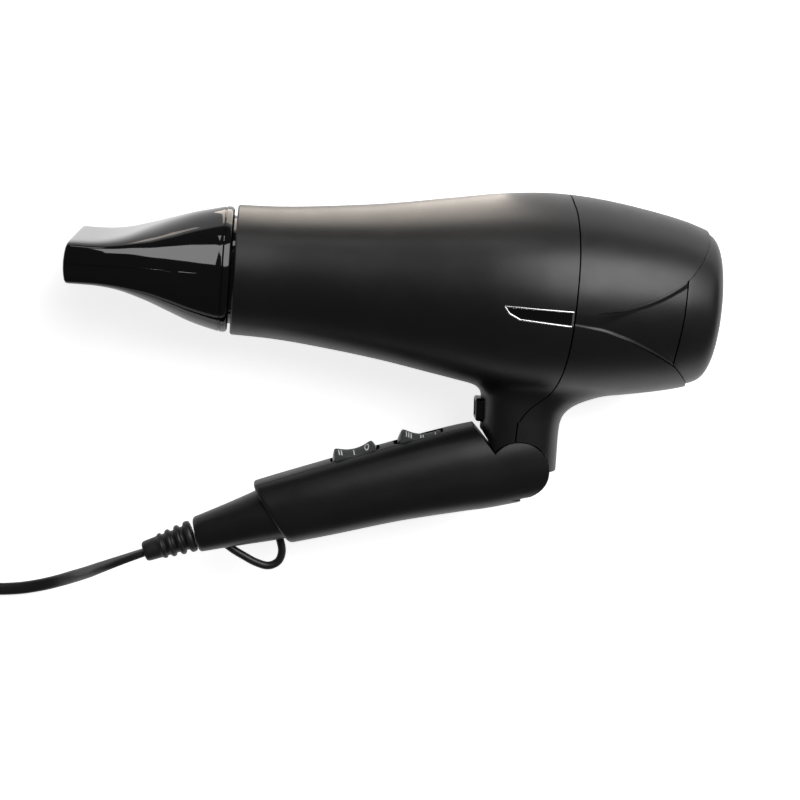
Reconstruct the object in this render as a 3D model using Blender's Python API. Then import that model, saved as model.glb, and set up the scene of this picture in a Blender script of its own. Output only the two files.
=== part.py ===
"""A folding travel hair dryer with its concentrator nozzle, lead and plug, as separate pieces.

The dryer lies on its side. +X runs along the barrel from the nozzle to the air intake, +Y is the
top of the dryer, and +Z is up. Each piece is modelled in the design frame (barrel axis on X, front
edge of the barrel at X = 0, plane of symmetry at Z = 0), or in the handle's own frame, whose
origin is the fold hinge. Then the whole dryer is lifted onto the surface and centred on the origin.
Run it with: blender --background --python part.py
"""

import math

import bmesh
import bpy
from mathutils import Matrix, Vector

MM = 0.001
GAP = 0.3

# Overall placing, in mm: the design frame's origin in the world.
WORLD_X = -67.3
WORLD_Y = 42.3
LIFT = 42.3

# Barrel: stations along X as (x, radius, drop of the centre below the axis).
BARREL = [
    (0.0, 26.2, 0.0), (1.0, 26.9, 0.0), (18.0, 27.5, 0.0), (37.0, 29.3, 0.1), (62.0, 32.5, 0.3),
    (87.0, 36.8, 0.5), (106.0, 40.1, 0.6), (122.0, 41.9, 0.7), (134.0, 42.3, 0.7), (147.0, 41.7, 0.8),
    (160.0, 40.2, 0.9), (175.0, 37.7, 1.0), (185.0, 35.6, 1.1), (191.0, 33.9, 1.2), (196.0, 31.6, 1.2),
]
BARREL_SIDES = 36
WALL = 2.0
CAP_SEAM_X = 190.0
CAP_END_X = 201.6
CAP_DROP = 1.2

# The seam between the front housing and the rear cover, seen from the side.
SEAM = [
    (136.6, 60.0), (136.6, 41.4), (137.6, 34.8), (138.1, 21.2), (137.8, 6.5), (137.3, -14.8), (135.9, -30.6),
    (133.4, -39.6), (126.2, -46.6), (122.4, -52.1), (121.3, -57.5), (121.3, -95.0),
]

# Neck: stations down the neck as (y, front x, rear x, half width).
NECK = [
    (-30.0, 105.5, 168.0, 20.0), (-38.0, 106.3, 163.0, 19.0), (-42.2, 106.8, 156.5, 18.2),
    (-45.3, 107.0, 149.0, 17.6), (-48.6, 107.2, 144.0, 17.2), (-52.2, 107.4, 141.4, 17.0),
    (-58.0, 107.8, 140.7, 16.9), (-73.8, 107.8, 141.0, 16.6),
]
NECK_SIDES = 32

# Fold hinge.
HINGE_X, HINGE_Y = 124.0, -74.2
FOLDED_DEG = 17.0
EAR_R = 12.6
EAR_IN = 11.3
TONGUE_R = 11.0
TONGUE_HALF = 9.7
PIN_R = 2.5
PIN_CLEARANCE = 0.08

# Handle, in its own frame: stations as (x, top y, bottom y, half width).
HANDLE = [
    (-112.0, 17.6, -10.2, 13.6), (-104.0, 18.2, -10.6, 14.0), (-85.0, 19.4, -11.0, 15.2),
    (-54.0, 21.1, -11.5, 16.0), (-27.0, 22.1, -13.4, 16.6), (-13.0, 22.0, -14.6, 16.8),
    (14.0, 21.0, -15.4, 16.8),
]
HANDLE_SIDES = 28
HANDLE_WALL = 2.2
PANEL_END_X = -14.0

# Rocker switches, in the handle's frame: centre along X, and the tilt they rest at.
ROCKERS = {"speed": (-64.9, 0.0), "heat": (-37.3, -14.0)}
ROCKER_LENGTH = 20.0
ROCKER_WIDTH = 9.6
ROCKER_PIVOT_Y = 16.6

# Tail and strain relief, in the handle's frame.
TAIL_END_X, TAIL_END_Y = -138.0, 1.3
RELIEF_TILT_DEG = 5.9

# Flat two-core lead, 5.4 wide and 1800 long; its free runs are tubes as thick as it is.
CORD_THICK = 3.4
# The route's own points in the design frame, with z above the surface, from the strain relief's mouth.
CORD_ROUTE = [
    (-29.6, -122.4, 42.3), (-35.6, -125.0, 42.1), (-42.0, -128.2, 40.4), (-48.5, -132.4, 34.6),
    (-54.5, -137.0, 26.0), (-60.5, -141.4, 17.0), (-67.5, -145.8, 9.2), (-76.0, -149.6, 4.2),
    (-86.0, -152.2, 2.2), (-98.0, -153.2, 2.0), (-110.0, -152.0, 2.4), (-121.5, -149.8, 3.6),
]
COIL_X, COIL_Y = -147.0, -118.0
COIL_MID_R = 30.0
COIL_BOTTOM = 1.3
COIL_BUNDLE_W, COIL_BUNDLE_H = 17.4, 10.8
LEAD_END_ROUTE = [
    (-180.3, -94.5, 8.0), (-178.2, -89.5, 9.0), (-174.8, -85.2, 10.4), (-171.2, -81.4, 11.8),
    (-169.0, -77.6, 12.7), (-168.2, -73.6, 13.0),
]
PLUG_X, PLUG_REAR_Y, PLUG_Z = -168.0, -56.0, 13.0
PLUG_RELIEF_LENGTH = 17.0
PLUG_PIN_R, PLUG_PIN_LENGTH, PLUG_PIN_SPACING = 2.4, 19.0, 19.0
PLUG_BODY_L = 36.0

HANDLE_FRAME = Matrix.Translation((HINGE_X * MM, HINGE_Y * MM, 0)) @ Matrix.Rotation(
    math.radians(FOLDED_DEG), 4, "Z"
)

COLOURS = {
    "soft_black": ((0.018, 0.018, 0.019, 1), 0.5, 0.0),
    "gloss_black": ((0.004, 0.004, 0.004, 1), 0.08, 0.0),
    "chrome": ((0.75, 0.75, 0.76, 1), 0.12, 1.0),
    "switch_grey": ((0.075, 0.08, 0.08, 1), 0.45, 0.0),
    "rubber_black": ((0.02, 0.02, 0.02, 1), 0.6, 0.0),
    "mica": ((0.55, 0.48, 0.36, 1), 0.4, 0.0),
    "steel": ((0.55, 0.55, 0.56, 1), 0.3, 1.0),
    "heater_wire": ((0.42, 0.38, 0.34, 1), 0.35, 1.0),
    "brass": ((0.75, 0.56, 0.25, 1), 0.28, 1.0),
    "white_plastic": ((0.75, 0.74, 0.7, 1), 0.45, 0.0),
    "board_green": ((0.03, 0.18, 0.08, 1), 0.5, 0.0),
}


def clear_scene():
    for obj in list(bpy.data.objects):
        bpy.data.objects.remove(obj)


def material_of(finish):
    found = bpy.data.materials.get(finish)
    if found:
        return found
    colour, roughness, metallic = COLOURS[finish]
    made = bpy.data.materials.new(finish)
    made.use_nodes = True
    shader = made.node_tree.nodes["Principled BSDF"]
    shader.inputs["Base Color"].default_value = colour
    shader.inputs["Roughness"].default_value = roughness
    shader.inputs["Metallic"].default_value = metallic
    return made


# ---- Making and joining solids ----

def object_from(bm, name):
    """The bmesh as an object, with its faces turned outwards."""
    bmesh.ops.recalc_face_normals(bm, faces=bm.faces)
    mesh = bpy.data.meshes.new(name)
    bm.to_mesh(mesh)
    bm.free()
    obj = bpy.data.objects.new(name, mesh)
    bpy.context.scene.collection.objects.link(obj)
    return obj


def loft(name, rings):
    """A closed solid through rings of points in mm, all with the same count."""
    bm = bmesh.new()
    loops = [[bm.verts.new(Vector(point) * MM) for point in ring] for ring in rings]
    for first, second in zip(loops, loops[1:]):
        for i in range(len(first)):
            j = (i + 1) % len(first)
            bm.faces.new((first[i], first[j], second[j], second[i]))
    bm.faces.new(loops[0])
    bm.faces.new(loops[-1])
    return object_from(bm, name)


def prism(name, outline, low, high):
    """An outline in XY, drawn in mm, extruded along Z from low to high."""
    bm = bmesh.new()
    face = bm.faces.new([bm.verts.new((x * MM, y * MM, low * MM)) for x, y in outline])
    grown = bmesh.ops.extrude_face_region(bm, geom=[face])
    moved = [item for item in grown["geom"] if isinstance(item, bmesh.types.BMVert)]
    bmesh.ops.translate(bm, verts=moved, vec=(0, 0, (high - low) * MM))
    return object_from(bm, name)


def box(name, low, high):
    return prism(name, [(low[0], low[1]), (high[0], low[1]), (high[0], high[1]), (low[0], high[1])],
                 low[2], high[2])


def cylinder(name, centre, axis, radius, length, sides=24, end_radius=None):
    """A cylinder or cone that starts at centre and runs length mm along axis."""
    bm = bmesh.new()
    top = radius if end_radius is None else end_radius
    bmesh.ops.create_cone(bm, cap_ends=True, segments=sides, radius1=radius * MM, radius2=top * MM,
                          depth=length * MM)
    turn = Vector(axis).to_track_quat("Z", "Y").to_matrix().to_4x4()
    move = Matrix.Translation(Vector(centre) * MM) @ turn @ Matrix.Translation((0, 0, length * MM / 2))
    bmesh.ops.transform(bm, matrix=move, verts=bm.verts)
    return object_from(bm, name)


def ring_of(name, profile, sides=36, centre_y=0.0):
    """A closed (x, radius) profile in mm, clear of the axis, turned about a line parallel to X."""
    bm = bmesh.new()
    loops = [
        [
            bm.verts.new(Vector(point) * MM)
            for point in circle(x, radius, sides, centre_y)
        ]
        for x, radius in profile
    ]
    for first, second in zip(loops, loops[1:] + loops[:1]):
        for i in range(sides):
            j = (i + 1) % sides
            bm.faces.new((first[i], first[j], second[j], second[i]))
    return object_from(bm, name)


def turned(name, profile, sides=36, centre_y=0.0):
    """A solid turned about a line parallel to X, through (x, radius) stations in mm."""
    return loft(name, [circle(x, radius, sides, centre_y) for x, radius in profile])


def circle(x, radius, sides, centre_y=0.0):
    return [
        (x, centre_y + radius * math.cos(math.tau * i / sides), radius * math.sin(math.tau * i / sides))
        for i in range(sides)
    ]


def combine(obj, other, operation):
    """Joins, cuts or intersects obj with other by an exact Boolean, and removes other."""
    modifier = obj.modifiers.new("combine", "BOOLEAN")
    modifier.object = other
    modifier.operation = operation
    modifier.solver = "EXACT"
    bpy.context.view_layer.update()
    result = bpy.data.meshes.new_from_object(obj.evaluated_get(bpy.context.evaluated_depsgraph_get()))
    obj.modifiers.clear()
    obj.data = result
    bpy.data.objects.remove(other)
    return obj


def union(obj, *others):
    for other in others:
        combine(obj, other, "UNION")
    return obj


def cut(obj, *cutters):
    for cutter in cutters:
        combine(obj, cutter, "DIFFERENCE")
    return obj


def common(obj, other):
    return combine(obj, other, "INTERSECT")


def copy_of(obj, name):
    made = bpy.data.objects.new(name, obj.data.copy())
    bpy.context.scene.collection.objects.link(made)
    return made


def finished(obj, name, finish, pivot=(0, 0, 0), smooth=True):
    """Names the piece, gives it its material, and puts its origin at pivot, in mm."""
    obj.name = name
    obj.data.name = name
    obj.data.materials.clear()
    obj.data.materials.append(material_of(finish))
    point = Vector(pivot) * MM
    obj.data.transform(Matrix.Translation(-point))
    obj.location = point
    if smooth:
        obj.data.shade_smooth()
        obj.data.set_sharp_from_angle(angle=math.radians(35))
    return obj


# ---- Outlines ----

def arc(centre, radius, start_deg, end_deg, count):
    """Points on an arc, in mm, from start to end."""
    step = math.radians(end_deg - start_deg) / (count - 1)
    return [
        (centre[0] + radius * math.cos(math.radians(start_deg) + i * step),
         centre[1] + radius * math.sin(math.radians(start_deg) + i * step))
        for i in range(count)
    ]


def oval(half_a, half_b, sides, power=2.4):
    """Points round a superellipse: power 2 is an ellipse, and more is squarer."""
    points = []
    for i in range(sides):
        angle = math.tau * (i + 0.5) / sides
        c, s = math.cos(angle), math.sin(angle)
        points.append((half_a * math.copysign(abs(c) ** (2 / power), c),
                       half_b * math.copysign(abs(s) ** (2 / power), s)))
    return points


def barrel_rings(inset, first_x, last_x):
    """Rings of the barrel's skin, moved in by inset, between two places along X."""
    def at(x):
        for (x0, r0, d0), (x1, r1, d1) in zip(BARREL, BARREL[1:]):
            if x <= x1:
                t = (x - x0) / (x1 - x0)
                return r0 + (r1 - r0) * t, d0 + (d1 - d0) * t
        return BARREL[-1][1:]

    places = [first_x] + [x for x, _, _ in BARREL if first_x < x < last_x] + [last_x]
    rings = []
    for x in places:
        radius, drop = at(max(x, BARREL[0][0]))
        rings.append([
            (x, (radius - inset) * math.cos(math.tau * i / BARREL_SIDES) - drop,
             (radius - inset) * math.sin(math.tau * i / BARREL_SIDES))
            for i in range(BARREL_SIDES)
        ])
    return rings


def neck_rings(inset, last_y):
    rings = []
    for y, front, rear, half in NECK:
        middle = (front + rear) / 2
        ring = oval((rear - front) / 2 - inset, half - inset, NECK_SIDES)
        rings.append([(middle + x, max(y, last_y), z) for x, z in ring])
    return rings


def handle_rings(inset, first_x, last_x):
    """Rings of the handle's skin, in the handle's frame."""
    rings = []
    for x, top, bottom, half in HANDLE:
        ring = oval((top - bottom) / 2 - inset, half - inset, HANDLE_SIDES, power=2.6)
        rings.append([(min(max(x, first_x), last_x), (top + bottom) / 2 + y, z) for y, z in ring])
    kept = [rings[0]]
    for ring in rings[1:]:
        if ring[0][0] > kept[-1][0][0]:
            kept.append(ring)
    return kept


# ---- Head: the barrel's shells and what they hold ----

def housing_skin(inset):
    """Barrel and neck as one solid, moved in by inset."""
    barrel = loft("skin", barrel_rings(inset, -2.0 * (inset > 0), CAP_SEAM_X - GAP / 2))
    return union(barrel, loft("neck", neck_rings(inset, -73.8 + inset * 1.0)))


def seam_cutter(shift, rear):
    """Everything on one side of the housing's seam, moved along X by shift."""
    far = 260.0 if rear else -40.0
    outline = [(x + shift, y) for x, y in SEAM] + [(far, SEAM[-1][1]), (far, SEAM[0][1])]
    return prism("seam", outline, -60.0, 60.0)


def hinge_room():
    """Cuts the neck's cheeks round the handle's ears, and its front corner, outside the tongue."""
    room = cylinder("room", (HINGE_X, HINGE_Y, -30.0), (0, 0, 1), EAR_R + 0.5, 60.0, 32)
    corner = prism("corner", [(100.0, -57.5), (107.9, -58.3), (115.2, -68.4), (HINGE_X, HINGE_Y),
                              (HINGE_X, -90.0), (100.0, -90.0)], -30.0, 30.0)
    return union(room, corner)


def tongue():
    """The neck's knuckle between the handle's ears, with its stem up into the neck."""
    knuckle = cylinder("tongue", (HINGE_X, HINGE_Y, -TONGUE_HALF), (0, 0, 1), TONGUE_R,
                       2 * TONGUE_HALF, 28)
    stem = box("stem", (HINGE_X - 8.0, HINGE_Y, -TONGUE_HALF), (HINGE_X + 10.0, -54.0, TONGUE_HALF))
    return union(knuckle, stem)


def make_housings():
    """The front housing and the rear cover: one skin with the fan's space inside, cut at the seam."""
    skin = cut(housing_skin(0.0), hinge_room())
    cut(skin, housing_skin_inside())
    front = copy_of(skin, "front_housing")
    cut(front, seam_cutter(-GAP / 2, rear=True))
    rear = cut(skin, seam_cutter(GAP / 2, rear=False))
    union(front, tongue())
    bore = cylinder("bore", (HINGE_X, HINGE_Y, -20.0), (0, 0, 1), PIN_R + PIN_CLEARANCE, 40.0)
    button_hole = box("hole", (100.0, -56.2, -6.0), (112.5, -45.4, 6.0))
    cut(front, bore, button_hole)
    cut(rear, box("stem_room", (HINGE_X - 9.0, -90.0, -10.1), (HINGE_X + 10.4, -53.6, 10.1)))
    cut(front, *[trim_shape("recess", TRIM, side, 0.35, 1.4) for side in (1, -1)])
    finished(front, "front_housing", "soft_black")
    finished(rear, "rear_cover", "soft_black")


def housing_skin_inside():
    barrel = loft("inside", barrel_rings(WALL, -2.0, CAP_SEAM_X + 2.0))
    return union(barrel, loft("neck_inside", neck_rings(WALL, -52.0)))


TRIM = [(109.0, -2.2), (136.7, -2.4), (136.6, -8.4), (115.5, -7.1), (111.2, -5.0)]
TRIM_INLAY = [(113.0, -3.5), (135.3, -3.7), (135.2, -7.1), (116.2, -5.9), (114.1, -5.0)]
TRIM_MIDDLE = (126.7, -4.2)


def trim_shape(name, outline, side, grow, depth):
    """An outline on the barrel's side, grown a little, as a layer of the skin down to depth."""
    grown = [(x + math.copysign(grow, x - TRIM_MIDDLE[0]), y + math.copysign(grow, y - TRIM_MIDDLE[1]))
             for x, y in outline]
    low, high = (34.0, 50.0) if side > 0 else (-50.0, -34.0)
    made = prism(name, grown, low, high)
    cut(made, loft("under", barrel_rings(depth, 95.0, 160.0)))
    return common(made, loft("over", barrel_rings(-0.8, 90.0, 165.0)))


def make_trim():
    for side, word in ((1, "left"), (-1, "right")):
        frame = trim_shape("frame", TRIM, side, 0.0, 1.0)
        common(frame, loft("top", barrel_rings(-0.2, 90.0, 165.0)))
        cut(frame, trim_shape("middle", TRIM_INLAY, side, 0.35, 3.0))
        finished(frame, f"trim_frame_{word}", "chrome")
        inlay = trim_shape("inlay", TRIM_INLAY, side, 0.0, 1.0)
        common(inlay, loft("top", barrel_rings(0.1, 90.0, 165.0)))
        finished(inlay, f"trim_inlay_{word}", "gloss_black")


def spokes(name, x, depth, inner, outer, count, width, start_deg=0.0):
    """Flat bars from the hub to the rim of a grille, as one list of solids."""
    made = []
    for i in range(count):
        bar = box(f"{name}_{i}", (x, inner, -width / 2), (x + depth, outer, width / 2))
        bar.data.transform(Matrix.Rotation(math.radians(start_deg) + math.tau * i / count, 4, "X"))
        made.append(bar)
    return made


def grille(name, x, depth, radii, count, finish, sides=24, centre_y=0.0):
    """Concentric rings joined by spokes: radii are (inner, outer) pairs from the hub outwards."""
    rings = [ring_of(f"ring_{inner}", [(x, inner), (x + depth, inner), (x + depth, outer), (x, outer)], sides)
             for inner, outer in radii]
    body = union(rings[0], *rings[1:])
    union(body, *spokes(name, x + 0.1, depth - 0.2, radii[0][1] - 0.5, radii[-1][0] + 0.5, count, 1.2, 7.0))
    body.data.transform(Matrix.Translation((0, centre_y * MM, 0)))
    return finished(body, name, finish)


def make_heater():
    grille("front_grille", 12.0, 2.0, [(2.0, 4.0), (9.0, 10.4), (15.6, 17.0), (23.2, 25.0)], 5, "gloss_black")
    finished(ring_of("mica_sleeve", [(15.0, 21.6), (86.0, 21.6), (86.0, 22.2), (15.0, 22.2)], 32),
             "mica_sleeve", "mica")
    half, thick, front, rear = 16.0, 0.8, 18.0, 84.0
    boards = (("mica_board_front", 0.0, (50.7, 90.0)), ("mica_board_rear", 90.0, (10.0, 51.3)))
    for name, turn, slot in boards:
        board = box(name, (front, -half, -thick / 2), (rear, half, thick / 2))
        cut(board, box("slot", (slot[0], -thick / 2 - GAP, -2.0), (slot[1], thick / 2 + GAP, 2.0)))
        board.data.transform(Matrix.Rotation(math.radians(turn), 4, "X"))
        finished(board, name, "mica", smooth=False)
    for name, start in (("heater_coil_low", 24.0), ("heater_coil_high", 54.0)):
        helix_wire(name, start, 25.0, 17.4, 5, 1.4, "heater_wire")
    finished(box("cut", (70.0, 3.0, 3.0), (79.0, 8.0, 7.0)), "thermal_cutoff", "steel", smooth=False)
    finished(cylinder("fuse", (66.0, -5.5, -5.5), (1, 0, 0), 1.8, 12.0, 12), "thermal_fuse", "steel")


def helix_wire(name, start_x, length, radius, turns, thickness, finish, points_per_turn=12):
    """A round wire wound about the barrel's axis."""
    count = turns * points_per_turn
    points = []
    for i in range(count + 1):
        angle = math.tau * i / points_per_turn
        points.append((start_x + length * i / count, radius * math.cos(angle), radius * math.sin(angle)))
    return finished(tube(name, points, thickness / 2, 0), name, finish)


def tube(name, points, radius, resolution):
    """A round tube through points in mm, with closed ends."""
    curve = bpy.data.curves.new(name, "CURVE")
    curve.dimensions = "3D"
    curve.bevel_depth = radius * MM
    curve.bevel_resolution = resolution
    curve.use_fill_caps = True
    spline = curve.splines.new("POLY")
    spline.points.add(len(points) - 1)
    for slot, point in zip(spline.points, points):
        slot.co = (*(Vector(point) * MM), 1)
    curve_object = bpy.data.objects.new(name + "_curve", curve)
    bpy.context.scene.collection.objects.link(curve_object)
    return as_mesh(curve_object, name)


def as_mesh(obj, name):
    bpy.context.view_layer.update()
    mesh = bpy.data.meshes.new_from_object(obj.evaluated_get(bpy.context.evaluated_depsgraph_get()))
    bm = bmesh.new()
    bm.from_mesh(mesh)
    bmesh.ops.remove_doubles(bm, verts=bm.verts, dist=1e-6)
    bpy.data.objects.remove(obj)
    return object_from(bm, name)


FAN_X = 150.0
MOTOR_R = 11.6


def make_fan():
    """The motor in its duct ahead of the fan, and the guard behind it."""
    duct = ring_of("fan_duct", [(112.0, 34.6), (160.0, 34.6), (160.0, 36.2), (132.0, 36.2), (132.0, 38.6),
                                (130.0, 38.6), (130.0, 36.2), (112.0, 36.2)], 36)
    bore = MOTOR_R + 0.3
    holder = ring_of("holder", [(112.0, bore), (138.0, bore), (138.0, 14.0), (112.0, 14.0)], 28)
    union(duct, holder, *spokes("vane", 114.0, 22.0, 13.2, 35.2, 6, 1.6))
    finished(duct, "fan_duct", "gloss_black")
    motor = ring_of("motor", [(110.0, 1.3), (142.0, 1.3), (142.0, 4.0), (140.0, 4.0), (140.0, MOTOR_R),
                              (110.0, MOTOR_R)], 28)
    finished(motor, "motor_can", "steel")
    board = turned("board", [(106.5, 10.5), (108.5, 10.5)], 24)
    finished(board, "rectifier_board", "board_green", smooth=False)
    shaft = turned("shaft", [(112.0, 1.2), (158.0, 1.2)], 12)
    finished(shaft, "motor_shaft", "steel", pivot=(FAN_X, 0, 0))
    hub = ring_of("hub", [(144.5, 1.5), (158.0, 1.5), (158.0, 6.0), (156.5, 9.5), (144.5, 10.5)], 24)
    union(hub, *fan_blades(7))
    finished(hub, "fan_impeller", "gloss_black", pivot=(FAN_X, 0, 0))
    grille("intake_guard", 176.0, 1.8, [(3.0, 5.0), (17.6, 19.0), (32.6, 34.4)], 6, "gloss_black",
           centre_y=-1.0)


def fan_blades(count):
    """Pitched blades that twist from root to tip."""
    blades = []
    for i in range(count):
        rings = []
        for radius, pitch in ((9.0, 50.0), (20.0, 38.0), (34.0, 28.0)):
            c, s = math.cos(math.radians(pitch)), math.sin(math.radians(pitch))
            half = 6.0
            corners = [(-half, -0.6), (half, -0.6), (half, 0.6), (-half, 0.6)]
            rings.append([(FAN_X + u * s + v * c, radius, u * c - v * s) for u, v in corners])
        blade = loft(f"blade_{i}", rings)
        blade.data.transform(Matrix.Rotation(math.tau * i / count, 4, "X"))
        blades.append(blade)
    return blades


def make_filter_cap():
    """The cap that pulls off the back, with its mesh held inside the end ring."""
    outer = [(CAP_SEAM_X + GAP / 2, 34.1), (193.5, 32.6), (196.0, 31.0), (198.4, 29.2), (200.6, 26.0),
             (CAP_END_X, 23.6)]
    inner = [(CAP_END_X, 22.4), (199.2, 22.4), (199.2, 26.0), (196.6, 28.4), (192.5, 30.6), (184.0, 30.6),
             (184.0, 31.8), (CAP_SEAM_X + GAP / 2, 31.8)]
    cap = ring_of("filter_cap", outer + inner, 40, -CAP_DROP)
    finished(cap, "filter_cap", "soft_black")
    grille("filter_mesh", 197.5, 1.2, [(1.5, 4.0), (8.6, 10.4), (15.8, 17.6), (23.4, 25.4)], 6, "steel",
           centre_y=-CAP_DROP)


# ---- Nozzle ----

NOZZLE = [
    (-1.2, 25.6, 25.6, 2.0), (-3.3, 26.2, 26.2, 2.0), (-7.5, 25.3, 26.0, 2.0), (-16.8, 22.8, 27.5, 2.1),
    (-26.1, 19.4, 30.5, 2.3), (-35.4, 15.2, 34.2, 2.6), (-44.7, 11.2, 37.2, 3.0), (-54.0, 9.2, 38.6, 3.4),
    (-67.0, 8.6, 39.2, 3.6),
]
NOZZLE_SIDES = 28
SPIGOT_R = 22.4


def nozzle_rings(inset, past_ends):
    """Rings of the nozzle's skin moved in by inset, running past both ends by past_ends."""
    rings = []
    for x, half_y, half_z, power in NOZZLE:
        over = past_ends * ((x == NOZZLE[0][0]) - (x == NOZZLE[-1][0]))
        rings.append([(x + over, y, z) for y, z in oval(half_y - inset, half_z - inset, NOZZLE_SIDES, power)])
    return rings


def make_nozzle():
    """The flat-mouthed concentrator, and the clip ring that it turns on and pulls out with."""
    body = loft("nozzle", nozzle_rings(0.0, 0.0))
    cut(body, loft("duct", nozzle_rings(1.8, 1.5)))
    bore = SPIGOT_R - 1.6
    spigot = ring_of("spigot", [(-6.0, bore), (9.0, bore), (9.0, SPIGOT_R), (-6.0, SPIGOT_R)], 36)
    collar = ring_of("collar", [(-5.0, bore), (-2.2, bore), (-2.2, 25.0), (-5.0, 25.0)], 36)
    union(body, union(spigot, collar))
    finished(body, "nozzle", "gloss_black")
    ring = ring_of("clip", [(1.0, SPIGOT_R + 0.3), (7.5, SPIGOT_R + 0.3), (7.5, 23.9), (1.0, 23.9)], 36)
    finished(ring, "nozzle_clip_ring", "switch_grey")


# ---- Neck: the cool-shot button ----

def make_cool_shot():
    button = prism("button", [(104.5, -47.0), (105.4, -45.9), (110.6, -45.9), (110.6, -55.7), (106.4, -55.7),
                              (105.0, -54.6)], -5.5, 5.5)
    finished(button, "cool_button", "gloss_black", pivot=(106.0, -50.8, 0))
    switch = box("switch", (113.2, -50.8, -3.0), (119.0, -44.0, 3.0))
    finished(switch, "cool_switch", "switch_grey", smooth=False)
    screw = union(cylinder("head", (138.4, -62.0, 0), (-1, 0, 0), 2.3, 1.8, 16),
                  cylinder("shank", (137.0, -62.0, 0), (-1, 0, 0), 1.25, 10.5, 12))
    finished(screw, "neck_screw", "steel")


def make_neck_screw_holes():
    rear, front = bpy.data.objects["rear_cover"], bpy.data.objects["front_housing"]
    cut(rear, cylinder("hole", (145.0, -62.0, 0), (-1, 0, 0), 2.6, 14.0, 16))
    cut(front, cylinder("hole", (140.0, -62.0, 0), (-1, 0, 0), 1.6, 15.0, 12))


# ---- Handle, in its own frame ----

def in_handle(obj, handle):
    """Hangs a piece modelled in the handle's frame on the handle's empty."""
    obj.parent = handle
    return obj


def handle_side_outline():
    """The handle seen from the side: its raked tail end, its cut-back front, the ears and the rear step."""
    ears = arc((0, 0), EAR_R, 130.0, -94.0, 15)
    return [(-105.5, 30.0), (-13.6, 30.0), (-13.6, 21.5), *ears, (-2.7, -15.1), (-2.7, -26.0), (-94.5, -26.0),
            (-108.4, 14.0), (-107.4, 17.0)]


def panel_line(offset):
    """The parting line between the front panel and the shell, as points from tail to hinge."""
    return [(x, top - 3.2 + offset) for x, top, _, _ in HANDLE]


def make_handle(handle):
    solid = loft("handle", handle_rings(0.0, -112.0, 14.0))
    common(solid, prism("side", handle_side_outline(), -30, 30))
    cut(solid, cylinder("room", (0, 0, -EAR_IN), (0, 0, 1), EAR_R + 0.7, 2 * EAR_IN, 32))
    below = panel_line(GAP) + [(14.0, -40.0), (-112.0, -40.0)]
    panel = cut(copy_of(solid, "panel"), prism("below", below, -30, 30),
                box("ears", (PANEL_END_X - GAP, -40, -30), (20, 40, 30)))
    above = [point for point in panel_line(0.0) if point[0] < PANEL_END_X]
    above += [(PANEL_END_X, 18.9), (PANEL_END_X, 40.0), (-112.0, 40.0)]
    shell = cut(solid, prism("above", above, -30, 30))
    cavity = common(loft("cavity", handle_rings(HANDLE_WALL, -97.0, -19.0)),
                    box("span", (-97.0, -40.0, -30.0), (-19.0, 40.0, 30.0)))
    cut(shell, cavity)
    cut(shell, cylinder("bore", (0, 0, -20.0), (0, 0, 1), PIN_R + PIN_CLEARANCE, 35.0, 24))
    cut(shell, cylinder("plunger_bore", (-22.0, 0, 0), (1, 0, 0), 2.1, 12.0, 16))
    cut(shell, cylinder("lead_hole", (-112.0, 2.0, 0), (1, 0, 0), 4.2, 20.0, 16))
    for x, _ in SCREW_PLACES:
        cut(shell, cylinder("hole", (x, -16.0, 0), (0, 1, 0), 2.7, 10.0, 16))
    for x, _ in ROCKERS.values():
        cut(panel, box("hole", (x - ROCKER_LENGTH / 2 - 0.8, 0, -ROCKER_WIDTH / 2 - 0.4),
                       (x + ROCKER_LENGTH / 2 + 0.8, 40, ROCKER_WIDTH / 2 + 0.4)))
    in_handle(finished(shell, "handle_shell", "soft_black"), handle)
    in_handle(finished(panel, "handle_front_panel", "soft_black"), handle)


SCREW_PLACES = [(-88.0, -11.0), (-34.0, -12.8)]


def make_handle_inside(handle):
    for i, (x, skin_y) in enumerate(SCREW_PLACES):
        screw = union(cylinder("head", (x, skin_y + 0.8, 0), (0, 1, 0), 2.35, 1.8, 16),
                      cylinder("shank", (x, skin_y + 2.0, 0), (0, 1, 0), 1.25, 9.5, 12))
        in_handle(finished(screw, f"handle_screw_{i + 1}", "steel"), handle)
    pin = cylinder("pin", (0, 0, -15.6), (0, 0, 1), PIN_R, 30.2, 24)
    in_handle(finished(pin, "hinge_pin", "steel"), handle)
    for side, low in (("near", 10.05), ("far", -11.05)):
        washer = cut(cylinder("washer", (0, 0, low), (0, 0, 1), 8.0, 1.0, 24),
                     cylinder("hole", (0, 0, low - 1), (0, 0, 1), 2.8, 3.0, 24))
        in_handle(finished(washer, f"hinge_washer_{side}", "brass"), handle)
    plunger = cylinder("plunger", (-19.0, 0, 0), (1, 0, 0), 1.8, 7.6, 16)
    in_handle(finished(plunger, "detent_plunger", "brass"), handle)
    spring = helix_wire("detent_spring", -28.0, 8.5, 1.5, 5, 0.5, "steel", points_per_turn=6)
    in_handle(spring, handle)
    clamp = box("clamp", (-79.0, -6.0, -7.0), (-73.0, -2.6, 7.0))
    for z in (-4.6, 4.6):
        cut(clamp, cylinder("hole", (-76.0, -10.0, z), (0, 1, 0), 1.5, 12.0, 12))
    in_handle(finished(clamp, "cord_clamp", "switch_grey", smooth=False), handle)
    for side, z in (("near", 4.6), ("far", -4.6)):
        screw = union(cylinder("head", (-76.0, -2.2, z), (0, 1, 0), 2.0, 1.4, 14),
                      cylinder("shank", (-76.0, -1.6, z), (0, -1, 0), 1.1, 6.0, 10))
        in_handle(finished(screw, f"clamp_screw_{side}", "steel"), handle)
    for word, (x, _) in ROCKERS.items():
        body = box("switch", (x - 9.0, 2.0, -6.5), (x + 9.0, 12.2, 6.5))
        in_handle(finished(body, f"{word}_switch", "white_plastic", smooth=False), handle)


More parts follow.
